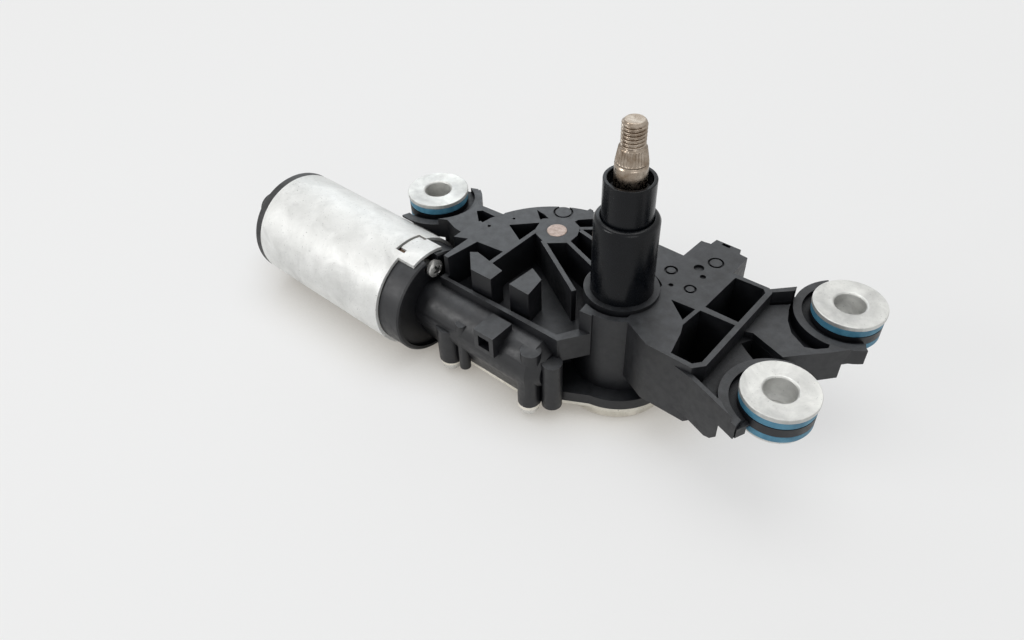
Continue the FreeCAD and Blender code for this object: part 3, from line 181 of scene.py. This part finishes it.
# Light: a pale room with a broad overhead softbox, a bluish one behind the part that gives the black
# plastic its grey sheen, and two smaller ones beside and in front of it.
world = bpy.data.worlds.new("studio")
bpy.context.scene.world = world
world.use_nodes = True
world_tree = world.node_tree
room = world_tree.nodes["Background"]
room.inputs["Color"].default_value = (0.96, 0.98, 1.0, 1)
room.inputs["Strength"].default_value = 0.36
backdrop = add(world_tree, "ShaderNodeBackground", None, Color=(0.85, 0.85, 0.847, 1))
world_path = world_tree.nodes.new("ShaderNodeLightPath").outputs
world_seen = math_of(world_tree, "MAXIMUM", world_path["Is Camera Ray"], world_path["Is Glossy Ray"])
world_seen = math_of(world_tree, "MAXIMUM", world_seen, world_path["Is Transmission Ray"])
world_light = mix_shaders(world_tree, world_seen, room.outputs[0], backdrop.outputs[0])
world_tree.links.new(world_light, world_tree.nodes["World Output"].inputs[0])

LAMP_AIM = Vector((-0.02, 0, -0.08))
WHITE, SKY_BLUE = (1, 1, 1), (0.84, 0.93, 1.0)
for name, place, width, height, power, colour in (
        ("overhead_softbox", (-0.15, 0.15, 0.95), 0.9, 0.7, 5.7, WHITE),
        ("rear_softbox", (-0.85, 0.75, 0.55), 0.7, 0.5, 2.0, SKY_BLUE),
        ("side_softbox", (-0.55, -0.85, 0.45), 0.4, 0.4, 3.7, WHITE),
        ("front_softbox", (0.75, -0.55, 0.3), 0.5, 0.3, 1.2, WHITE)):
    lamp_data = bpy.data.lights.new(name, "AREA")
    lamp_data.shape = "RECTANGLE"
    lamp_data.size = width
    lamp_data.size_y = height
    lamp_data.energy = power
    lamp_data.color = colour
    lamp = bpy.data.objects.new(name, lamp_data)
    lamp.location = place
    lamp.rotation_euler = (LAMP_AIM - Vector(place)).to_track_quat("-Z", "Y").to_euler()
    bpy.context.scene.collection.objects.link(lamp)

bpy.context.scene.view_settings.view_transform = "Standard"

# Gear housing: one moulding of black glass-filled nylon, with a fine moulded grain and rounded edges. Its
# open upper faces are lightened towards a bluish grey, partly for dust and partly as painted sheen, and its
# pockets get painted shade. Bottom cover, shaft tower and motor are fixed to it.


def new_finish(name, roughness, metallic=0.0, **sockets):
    """A material; returns it with its node tree, its surface shader and the part's own coordinates."""
    finish = bpy.data.materials.new(name)
    finish.use_nodes = True
    tree = finish.node_tree
    shader = tree.nodes["Principled BSDF"]
    shader.inputs["Roughness"].default_value = roughness
    shader.inputs["Metallic"].default_value = metallic
    for socket, number in sockets.items():
        shader.inputs[socket.replace("_", " ")].default_value = number
    place = tree.nodes.new("ShaderNodeTexCoord").outputs["Object"]
    return finish, tree, shader, place


def noise(tree, place, scale, detail, roughness=0.55, distortion=0.0):
    """A cloud of grey between 0 and 1, scale in features per metre."""
    return add(tree, "ShaderNodeTexNoise", None, Vector=place, Scale=scale, Detail=detail,
               Roughness=roughness, Distortion=distortion).outputs[0]


def blend_colours(tree, factor, under, over):
    """The plain colour over in place of the colour socket under by factor."""
    mixer = add(tree, "ShaderNodeMix", {"data_type": "RGBA"})
    share, first_colour, second_colour = mixer.inputs[0], mixer.inputs[6], mixer.inputs[7]
    tree.links.new(factor, share)
    tree.links.new(under, first_colour)
    second_colour.default_value = (*over, 1)
    return mixer.outputs[2]


def grain(tree, shader, height, depth, strength):
    """Bump of a given depth in metres on the surface shader."""
    bump = add(tree, "ShaderNodeBump", None, Height=height, Distance=depth, Strength=strength)
    tree.links.new(bump.outputs["Normal"], shader.inputs["Normal"])


def block(form, low, high):
    """Add a closed box between two corners, in millimetres."""
    middle = [(first + second) / 2 * MM for first, second in zip(low, high)]
    size = [(second - first) * MM for first, second in zip(low, high)]
    bmesh.ops.create_cube(form, size=1.0, matrix=Matrix.Translation(middle) @ Matrix.Diagonal((*size, 1)))


def walls(form, first_rim, second_rim):
    """Add the faces between two closed rims with the same number of corners."""
    for side in range(len(first_rim)):
        after = (side + 1) % len(first_rim)
        form.faces.new((first_rim[side], first_rim[after], second_rim[after], second_rim[side]))


RING_SIDES, TOOL_HEADROOM = 32, 1.0


def ring(form, x, y, level, depth, outer, inner):
    """Add a closed ring, or a disc where inner is 0, that sinks depth below a level, in millimetres."""
    rims = []
    for reach in (outer, inner) if inner else (outer,):
        for height in (level - depth, level + TOOL_HEADROOM):
            rims.append([form.verts.new(((x + reach * math.cos(2 * math.pi * side / RING_SIDES)) * MM,
                                         (y + reach * math.sin(2 * math.pi * side / RING_SIDES)) * MM,
                                         height * MM)) for side in range(RING_SIDES)])
    foot, top = rims[:2]
    walls(form, foot, top)
    if inner:
        inner_foot, inner_top = rims[2:]
        walls(form, inner_top, inner_foot)
        walls(form, inner_foot, foot)
        walls(form, top, inner_top)
    else:
        form.faces.new(foot[::-1])
        form.faces.new(top)


def carved(mesh, form):
    """The mesh with the closed forms cut out of it."""
    tool_mesh = bpy.data.meshes.new("recess_forms")
    form.to_mesh(tool_mesh)
    form.free()
    body, tool = bpy.data.objects.new("recess_body", mesh), bpy.data.objects.new("recess_tool", tool_mesh)
    for helper in (body, tool):
        bpy.context.scene.collection.objects.link(helper)
    cutting = body.modifiers.new("recesses", "BOOLEAN")
    cutting.object = tool
    cutting.operation = "DIFFERENCE"
    cutting.solver = "EXACT"
    cut = bpy.data.meshes.new_from_object(body.evaluated_get(bpy.context.evaluated_depsgraph_get()))
    for helper in (body, tool):
        bpy.data.objects.remove(helper)
    return cut


SHARP_EDGE, FLAT_FACES = math.radians(32.0), math.radians(1.0)
SAME_PLACE = 2e-6


def softened(node, edge, recesses=None):
    """A copy of a CAD piece with its sharp edges rounded by edge metres. It stands for that piece."""
    source = frame["nodes"][node]
    form = bmesh.new()
    form.from_mesh(carved(source.data.copy(), recesses) if recesses else source.data)
    bmesh.ops.remove_doubles(form, verts=form.verts, dist=SAME_PLACE)
    bmesh.ops.dissolve_limit(form, angle_limit=FLAT_FACES, verts=form.verts, edges=form.edges)
    for face in form.faces:
        face.smooth = True
    for side in form.edges:
        side.smooth = len(side.link_faces) == 2 and side.calc_face_angle(0) < SHARP_EDGE
    mesh = bpy.data.meshes.new(node + "_skin")
    form.to_mesh(mesh)
    form.free()
    piece = bpy.data.objects.new(node + "_skin", mesh)
    bpy.context.scene.collection.objects.link(piece)
    rounding = piece.modifiers.new("rounded_edges", "BEVEL")
    rounding.width = edge
    rounding.segments = 2
    rounding.limit_method = "ANGLE"
    rounding.angle_limit = SHARP_EDGE
    rounding.use_clamp_overlap = True
    rounding.harden_normals = True
    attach(piece, source["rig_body"])
    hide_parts(node)
    return piece


def dress(piece, finish):
    """Give a piece one finish all over."""
    piece.data.materials.clear()
    piece.data.materials.append(finish)


# Moulding marks on the deck, cut into the housing: the rings of ejector pins and the pits of gates, each as
# X, Y, depth, outer and inner radius, and the small slot at the plug socket's end.
DECK = -57.3
MARKS = ((7.9, 19.9, 0.8, 2.5, 1.6), (15.1, 27.1, 1.0, 1.9, 0), (18.4, 33.4, 0.8, 3.0, 2.2),
         (18.8, 23.6, 0.8, 1.1, 0), (18.7, 15.1, 0.8, 2.3, 1.5), (12.3, 12.8, 0.8, 0.9, 0),
         (-61.9, -0.8, 0.8, 0.7, 0), (-57.4, 8.8, 0.8, 0.6, 0), (-44.9, 24.4, 0.8, 4.0, 3.2))
marks = bmesh.new()
for x, y, depth, outer, inner in MARKS:
    ring(marks, x, y, DECK, depth, outer, inner)
block(marks, (14.6, 44.1, DECK - 1.4), (17.8, 45.5, DECK + TOOL_HEADROOM))

# The near arm's wall ends in a slanted foot, here the outline in X and Z of what is cut off it.
WALL_OFFCUT = ((49.0, -79.6), (49.0, -78.7), (51.6, -77.3), (54.5, -73.2), (55.6, -73.2), (55.6, -79.6))
near_rim, far_rim = ([marks.verts.new((x * MM, y * MM, z * MM)) for x, z in WALL_OFFCUT]
                     for y in (-30.0, -17.0))
marks.faces.new(near_rim)
marks.faces.new(far_rim[::-1])
walls(marks, near_rim, far_rim)
bmesh.ops.recalc_face_normals(marks, faces=marks.faces)
housing_skin = softened("gear_housing", 0.35 * MM, marks)

NYLON_ROUGHNESS, DUST_AND_SHEEN_SHARE, OPEN_REACH = 0.42, 0.27, 0.012
housing_finish, tree, shader, place = new_finish("housing_black_nylon", NYLON_ROUGHNESS)
flow_marks = ramp(tree, noise(tree, place, 70, 4), (0.3, (0.0035, 0.0038, 0.0048)),
                  (0.7, (0.0085, 0.009, 0.011)))
normal = tree.nodes.new("ShaderNodeNewGeometry").outputs["Normal"]
upward = add(tree, "ShaderNodeSeparateXYZ", None, Vector=normal).outputs["Z"]
openness = add(tree, "ShaderNodeAmbientOcclusion", {"samples": 5}, Distance=OPEN_REACH).outputs["AO"]
# Dust and painted sheen: upward faces that are open to the sky are lightened, partly for dust and partly
# for the sheen of light on them.
open_upper_faces = math_of(tree, "MULTIPLY", ramp(tree, upward, (0.75, 0.0), (0.98, 1.0)),
                  ramp(tree, openness, (0.45, 0.0), (0.85, 1.0)))
patches = ramp(tree, noise(tree, place, 240, 5, 0.65), (0.35, 0.25), (0.7, 1.0))
dust_and_sheen = math_of(tree, "MULTIPLY", math_of(tree, "MULTIPLY", open_upper_faces, patches), DUST_AND_SHEEN_SHARE)
tree.links.new(blend_colours(tree, dust_and_sheen, flow_marks, (0.128, 0.137, 0.148)), shader.inputs["Base Color"])
# Painted shade: the reflection is made weaker where the surface is enclosed, so pockets and recesses read
# near black.
tree.links.new(ramp(tree, openness, (0.3, 0.1), (0.75, 0.52)), shader.inputs["Specular IOR Level"])
wear = ramp(tree, noise(tree, place, 420, 4), (0.3, NYLON_ROUGHNESS - 0.07), (0.75, NYLON_ROUGHNESS + 0.13))
tree.links.new(wear, shader.inputs["Roughness"])
grain(tree, shader, noise(tree, place, 2600, 3, 0.6), 0.00006, 0.55)
dress(housing_skin, housing_finish)

# Shaft tower: a wide black steel sleeve round the foot of the output shaft and a narrower tube in it,
# both with a smooth stoved black coat that shows a few hairline rubs.
tube_finish, tree, shader, place = new_finish("stoved_black", 0.26, Specular_IOR_Level=0.22)
coat = ramp(tree, noise(tree, place, 130, 4), (0.3, (0.0018, 0.0023, 0.0034)),
            (0.75, (0.0036, 0.0044, 0.0062)))
tree.links.new(coat, shader.inputs["Base Color"])
rubs = ramp(tree, noise(tree, place, 700, 6, 0.7), (0.35, 0.2), (0.8, 0.34))
tree.links.new(rubs, shader.inputs["Roughness"])
grain(tree, shader, noise(tree, place, 1800, 2), 0.00003, 0.4)
dress(softened("tower_sleeve", 0.5 * MM), tube_finish)
dress(softened("spindle_tube", 0.3 * MM), tube_finish)

# Motor can: rolled steel with a dull zinc coat, spangled and scuffed from handling, open at both ends.
# A tab of it laps over the housing's flange, and the slot in front of the tab is widened to a window here.


def dull_zinc(name, light, dark, metallic, roughness):
    """Zinc plating on steel: soft spangles, grey smudges, small dark pits."""
    finish, tree, shader, place = new_finish(name, roughness, metallic)
    clouds = ramp(tree, noise(tree, place, 95, 5, 0.62, 0.4), (0.32, dark), (0.66, light))
    smudges = ramp(tree, noise(tree, place, 38, 6, 0.7, 1.2), (0.5, 0.0), (0.78, 0.55))
    smudged = blend_colours(tree, smudges, clouds, tuple(0.55 * channel for channel in dark))
    pits = ramp(tree, noise(tree, place, 1500, 2, 0.5), (0.68, 0.0), (0.74, 0.6))
    tree.links.new(blend_colours(tree, pits, smudged, (0.08, 0.08, 0.08)), shader.inputs["Base Color"])
    worn = ramp(tree, noise(tree, place, 260, 5, 0.7), (0.3, roughness - 0.1), (0.75, roughness + 0.14))
    tree.links.new(worn, shader.inputs["Roughness"])
    grain(tree, shader, noise(tree, place, 900, 4, 0.6), 0.00005, 0.5)
    return finish


can_finish = dull_zinc("can_zinc", (0.79, 0.79, 0.77), (0.64, 0.64, 0.62), 0.35, 0.5)
WINDOW_LOW, WINDOW_HIGH = (-81.0, -33.0, -60.6), (-76.5, -20.6, -56.5)
can_window = bmesh.new()
block(can_window, WINDOW_LOW, WINDOW_HIGH)
dress(softened("motor_can", 0.25 * MM, can_window), can_finish)

# Can lug: a bent tongue of the same zinc-coated sheet. It comes up from the flange in the can's window
# and holds the can. Its section is X and the height over the can's outside, in millimetres.
can_low, can_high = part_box("motor_can")
can_middle = ((can_low.y + can_high.y) / 2, (can_low.z + can_high.z) / 2)
can_reach = (can_high.z - can_low.z) / 2
LUG_SECTION = ((-79.7, -0.1), (-76.3, -0.1), (-76.3, -1.2), (-79.7, -1.2))
LUG_START, LUG_SWEEP, LUG_STEPS = 74, 24, 12
lug = bmesh.new()
lug_rows = []
for step in range(LUG_STEPS + 1):
    turn = math.radians(LUG_START + LUG_SWEEP * step / LUG_STEPS)
    row = []
    for x, rise in LUG_SECTION:
        reach = can_reach + rise * MM
        row.append(lug.verts.new((x * MM, can_middle[0] + reach * math.cos(turn),
                                  can_middle[1] + reach * math.sin(turn))))
    lug_rows.append(row)
for near_row, far_row in zip(lug_rows, lug_rows[1:]):
    walls(lug, near_row, far_row)
lug.faces.new(lug_rows[0][::-1])
lug.faces.new(lug_rows[-1])
bmesh.ops.recalc_face_normals(lug, faces=lug.faces)
lug_mesh = bpy.data.meshes.new("can_lug")
lug.to_mesh(lug_mesh)
lug.free()
can_lug = bpy.data.objects.new("can_lug", lug_mesh)
bpy.context.scene.collection.objects.link(can_lug)
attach(can_lug, "housing")
dress(can_lug, can_finish)

# End cap: drawn steel, phosphated dark grey. It is pressed into the can's rear and plugs it, and its boss
# holds the rear bearing.


def mottled(name, roughness, metallic, dark, light, clouds, bumps, **sockets):
    """A finish with soft clouds from dark to light; bumps are scale, detail, depth and strength."""
    finish, tree, shader, place = new_finish(name, roughness, metallic, **sockets)
    tone = ramp(tree, noise(tree, place, *clouds), (0.3, dark), (0.75, light))
    tree.links.new(tone, shader.inputs["Base Color"])
    scale, detail, depth, strength = bumps
    grain(tree, shader, noise(tree, place, scale, detail), depth, strength)
    return finish


cap_finish = mottled("cap_dark_phosphate", 0.5, 0.35, (0.02, 0.02, 0.021), (0.06, 0.06, 0.06),
                     (220, 5, 0.65), (1500, 3, 0.00006, 0.6))
dress(softened("end_cap", 0.4 * MM), cap_finish)

# Bottom cover: a pressed steel lid with a yellowish passivated zinc coat, and a round bulge that holds the
# foot of the output shaft. Zinc-plated screws fix it to the housing from below.
cover_finish = dull_zinc("cover_passivated_zinc", (0.90, 0.86, 0.77), (0.72, 0.68, 0.59), 0.45, 0.42)
dress(softened("bottom_cover", 0.4 * MM), cover_finish)
screw_finish = dull_zinc("screw_zinc", (0.78, 0.77, 0.74), (0.5, 0.5, 0.48), 0.9, 0.3)
dress(softened("cover_screws", 0.25 * MM), screw_finish)

# Flange screw: a zinc-plated pan-head screw with a cross recess in its domed head. It holds the can's
# flange, with its head towards the worm tube. Faces in and round its recess get a dark finish as painted
# shade.
screw_low, screw_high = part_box("flange_screw")
SCREW_AXIS = ((screw_low.y + screw_high.y) / 2, (screw_low.z + screw_high.z) / 2)
SCREW_LENGTH = screw_high.x - screw_low.x
HEAD_RADIUS, HEAD_HEIGHT = (screw_high.y - screw_low.y) / 2, 2.4 * MM
SHANK_RADIUS = 0.5 * HEAD_RADIUS
DOME_DROP, DOME_POWER = 1.1 * MM, 2.4
CROSS_TURN, CROSS_REACH, CROSS_HALF_WIDTH = math.radians(28), 2.1 * MM, 0.52 * MM
CROSS_DEPTH, CROSS_SLOPE = 1.5 * MM, 0.45
DARK_REACH, DARK_START, DARK_END = 2.3 * MM, 0.25 * MM, 1.9 * MM
RINGS, SECTORS = 30, 96


def dome(reach):
    """How far the screw head's face falls away from its highest point at a radius, in metres."""
    return DOME_DROP * (reach / HEAD_RADIUS) ** DOME_POWER


def head_depth(reach, turn):
    """How far the head's face or its recess lies behind the highest point, at a radius and an angle."""
    across = abs(reach * math.cos(turn - CROSS_TURN)), abs(reach * math.sin(turn - CROSS_TURN))
    if max(across) < CROSS_REACH and min(across) < CROSS_HALF_WIDTH:
        return CROSS_DEPTH - CROSS_SLOPE * max(across)
    return dome(reach)


def bands(rows, sides, start=0):
    """Faces between rows of points that each go once round, counted on from the point start."""
    faces = []
    for first in range(start, start + (rows - 1) * sides, sides):
        for side in range(sides):
            after = (side + 1) % sides
            faces.append((first + side, first + sides + side, first + sides + after, first + after))
    return faces


screw_points = [(screw_high.x - head_depth(0, 0), *SCREW_AXIS)]
head_rows = [(HEAD_RADIUS * row / RINGS, None) for row in range(1, RINGS + 1)]
shank_rows = [(HEAD_RADIUS, HEAD_HEIGHT), (SHANK_RADIUS, HEAD_HEIGHT), (SHANK_RADIUS, SCREW_LENGTH)]
for reach, fixed_depth in head_rows + shank_rows:
    for sector in range(SECTORS):
        turn = 2 * math.pi * sector / SECTORS
        behind = head_depth(reach, turn) if fixed_depth is None else fixed_depth
        screw_points.append((screw_high.x - behind, SCREW_AXIS[0] + reach * math.cos(turn),
                             SCREW_AXIS[1] + reach * math.sin(turn)))
screw_faces = [(0, 1 + sector, 1 + (sector + 1) % SECTORS) for sector in range(SECTORS)]
screw_faces += bands(len(head_rows + shank_rows), SECTORS, start=1)
screw_faces.append(tuple(range(len(screw_points) - 1, len(screw_points) - 1 - SECTORS, -1)))
screw_mesh = bpy.data.meshes.new("cross_head_screw")
screw_mesh.from_pydata(screw_points, [], screw_faces)
screw_form = bmesh.new()
screw_form.from_mesh(screw_mesh)
bmesh.ops.recalc_face_normals(screw_form, faces=screw_form.faces)
screw_form.to_mesh(screw_mesh)
screw_form.free()
cross_screw = bpy.data.objects.new("cross_head_screw", screw_mesh)
bpy.context.scene.collection.objects.link(cross_screw)
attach(cross_screw, "housing")
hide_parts("flange_screw")
dress(cross_screw, dull_zinc("flange_screw_zinc", (0.80, 0.79, 0.76), (0.55, 0.54, 0.52), 0.7, 0.26))
recess_painted_shade_finish = dull_zinc("flange_screw_recess_painted_shade", (0.10, 0.10, 0.095), (0.03, 0.03, 0.03), 0.6, 0.5)
screw_mesh.materials.append(recess_painted_shade_finish)
# Painted shade: the faces inside the cross recess and round its rim take the dark second finish.
for face in screw_mesh.polygons:
    middle = face.center - Vector((screw_high.x, *SCREW_AXIS))
    reach = math.hypot(middle.y, middle.z)
    dark = reach < DARK_REACH and dome(reach) + DARK_START < -middle.x < DARK_END
    face.material_index = 1 if dark else 0

# Bushings: a plated steel sleeve with its top washer, a loose lower washer, and a grommet of steel-blue
# rubber round the arm's eye between them.
washer_finish = dull_zinc("washer_bright_zinc", (0.71, 0.71, 0.68), (0.46, 0.46, 0.445), 0.6, 0.46)
rubber_finish = mottled("grommet_blue_rubber", 0.5, 0.0, (0.035, 0.15, 0.24), (0.10, 0.29, 0.41),
                        (300, 4), (1600, 3, 0.00008, 0.6))
for side in ("near", "far", "rear"):
    dress(softened(side + "_bushing", 0.3 * MM), washer_finish)
    dress(softened(side + "_lower_washer", 0.25 * MM), washer_finish)
    dress(softened(side + "_grommet", 0.5 * MM), rubber_finish)

# Output shaft: turned and nickel-plated steel, with a rolled M8 thread over a knurled cone for the wiper
# arm. Its levels count from the arm's seat, and its sizes are in millimetres.
shaft_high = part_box("output_shaft")[1]
THREAD_TOP, THREAD_FOOT, CONE_TOP, CONE_FOOT, COLLAR_FOOT = shaft_high.z / MM, 0.6, 0.0, -4.9, -5.7
THREAD_PITCH, THREAD_RADIUS, THREAD_DEPTH = 1.25, 4.0, 0.68
FLANK_SLOPE, ROOT_FLAT = 2.4, 0.7
TAPER_LENGTH, TAPER_INSET = 0.9, 0.25
KNURLS, KNURL_DEPTH, KNURL_RUNOUT = 30, 0.32, 0.08
CONE_RADIUS, CONE_GROWTH, COLLAR_RADIUS, JOURNAL_RADIUS = 4.5, 0.85, 5.1, 5.4
SHAFT_SIDES = 240


def shaft_radius(level, turn):
    """Radius of the shaft in millimetres at a level and a part of a turn round it."""
    root = THREAD_RADIUS - THREAD_DEPTH
    if level > THREAD_FOOT:
        wave = (level / THREAD_PITCH - turn) % 1
        crest = min(1.0, max(0.0, FLANK_SLOPE * abs(2 * wave - 1) - ROOT_FLAT))
        taper = min(1.0, (THREAD_TOP - level) / TAPER_LENGTH)
        return min(root + THREAD_DEPTH * crest, root - TAPER_INSET + (TAPER_INSET + THREAD_DEPTH) * taper)
    if level > CONE_TOP:
        return root
    if level > CONE_FOOT:
        along = (CONE_TOP - level) / (CONE_TOP - CONE_FOOT)
        tooth = abs(2 * ((turn * KNURLS) % 1) - 1)
        ends = min(1.0, min(along, 1 - along) / KNURL_RUNOUT)
        return CONE_RADIUS + CONE_GROWTH * along - KNURL_DEPTH * (1 - tooth) * ends
    return COLLAR_RADIUS if level > COLLAR_FOOT else JOURNAL_RADIUS


# Levels of the rows of points: even steps along thread and knurl, and a close pair at each step in width.
THREAD_STEP, KNURL_START, KNURL_STEP, KNURL_ROWS = 0.11, -0.2, 0.225, 21
thread_rows = int((THREAD_TOP - THREAD_FOOT) / THREAD_STEP) + 1
levels = [THREAD_TOP - THREAD_STEP * step for step in range(thread_rows)]
levels += [KNURL_START - KNURL_STEP * step for step in range(KNURL_ROWS)]
levels += [0.62, 0.58, 0.02, -0.02, -4.88, -4.92, -5.66, -5.74, -6.5, -12.0, -30.0]
levels = sorted(set(levels), reverse=True)
shaft_points = []
for level in levels:
    for side in range(SHAFT_SIDES):
        turn = side / SHAFT_SIDES
        reach = shaft_radius(level, turn)
        angle = 2 * math.pi * turn
        shaft_points.append((reach * math.cos(angle) * MM, reach * math.sin(angle) * MM, level * MM))
shaft_faces = bands(len(levels), SHAFT_SIDES)
shaft_faces.append(tuple(range(SHAFT_SIDES)))
shaft_faces.append(tuple(range(len(shaft_points) - 1, len(shaft_points) - 1 - SHAFT_SIDES, -1)))
shaft_mesh = bpy.data.meshes.new("threaded_shaft")
shaft_mesh.from_pydata(shaft_points, [], shaft_faces)
for face in shaft_mesh.polygons:
    face.use_smooth = len(face.vertices) == 4
threaded_shaft = bpy.data.objects.new("threaded_shaft", shaft_mesh)
bpy.context.scene.collection.objects.link(threaded_shaft)
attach(threaded_shaft, "spindle")
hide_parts("output_shaft")
shaft_finish, tree, shader, place = new_finish("shaft_nickel", 0.22, 1.0)
tint = ramp(tree, noise(tree, place, 260, 4, 0.6), (0.3, (0.20, 0.145, 0.10)), (0.7, (0.47, 0.41, 0.345)))
tree.links.new(tint, shader.inputs["Base Color"])
polish = ramp(tree, noise(tree, place, 900, 4), (0.3, 0.2), (0.75, 0.4))
tree.links.new(polish, shader.inputs["Roughness"])
grain(tree, shader, noise(tree, place, 3000, 2), 0.00002, 0.4)
dress(threaded_shaft, shaft_finish)

# Gear axle and bearings: sintered bronze sleeves, and the pin that the worm wheel turns on, whose
# copper-coloured end shows in the middle of the hub plate. The brush holders share the finish.
bronze_finish = mottled("sintered_bronze", 0.38, 0.9, (0.24, 0.18, 0.15), (0.42, 0.34, 0.30), (900, 4),
                        (2500, 3, 0.00005, 0.6))
dress(softened("gear_axle", 0.3 * MM), bronze_finish)
for node in ("rear_bearing", "front_bearing", "worm_bearing", "upper_bush", "lower_bush", "foot_bush",
             "brush_holders"):
    dress(frame["nodes"][node], bronze_finish)

# Worm wheel: moulded in natural nylon, with teeth on its rim, a thin web and a boss that turns on the
# axle. It keeps the CAD's form, as all that follows does.
wheel_finish = mottled("gear_natural_nylon", 0.4, 0.0, (0.62, 0.60, 0.52), (0.74, 0.72, 0.65), (120, 4),
                       (1500, 3, 0.00004, 0.5), Subsurface_Weight=0.05)
dress(frame["nodes"]["worm_wheel"], wheel_finish)

# Armature shaft and core, the drive from the wheel's crank pin to the pinion on the output shaft, the ring
# that keeps the shaft in its tube, and the blades in the plug socket: all plain steel.
steel_finish = dull_zinc("gear_steel", (0.50, 0.50, 0.50), (0.32, 0.32, 0.33), 1.0, 0.32)
for node in ("armature_shaft", "armature_core", "crank_pin", "drive_pinion", "sector_link", "link_pin",
             "guide_link", "retaining_ring", "connector_blades"):
    dress(frame["nodes"][node], steel_finish)

# Windings, commutator and chokes: copper, wound in the armature's slots, set round its shaft beside the
# core, and coiled on the brush plate.
copper_finish = mottled("winding_copper", 0.35, 1.0, (0.45, 0.16, 0.07), (0.75, 0.35, 0.2), (1200, 3),
                        (2200, 3, 0.00012, 0.8))
for node in ("armature_windings", "commutator", "chokes"):
    dress(frame["nodes"][node], copper_finish)

# Magnets, brushes and shaft seal: two curved ferrite magnets against the can's inside, carbon brushes in
# their holders, and a rubber seal at the spindle tube's mouth, all the same dull near-black.
dark_finish = mottled("ferrite_and_carbon", 0.6, 0.0, (0.02, 0.02, 0.022), (0.06, 0.06, 0.062), (800, 5),
                      (1800, 3, 0.00006, 0.6))
for node in ("magnets", "carbon_brushes", "shaft_seal"):
    dress(frame["nodes"][node], dark_finish)

# Brush plate: a flat board inside the can's mouth, which carries the brush holders and the chokes. It is
# cut from a brown insulating sheet.
board_finish = mottled("brush_board", 0.5, 0.0, (0.10, 0.05, 0.025), (0.2, 0.11, 0.06), (500, 5),
                       (2000, 2, 0.00005, 0.5))
dress(frame["nodes"]["brush_plate"], board_finish)
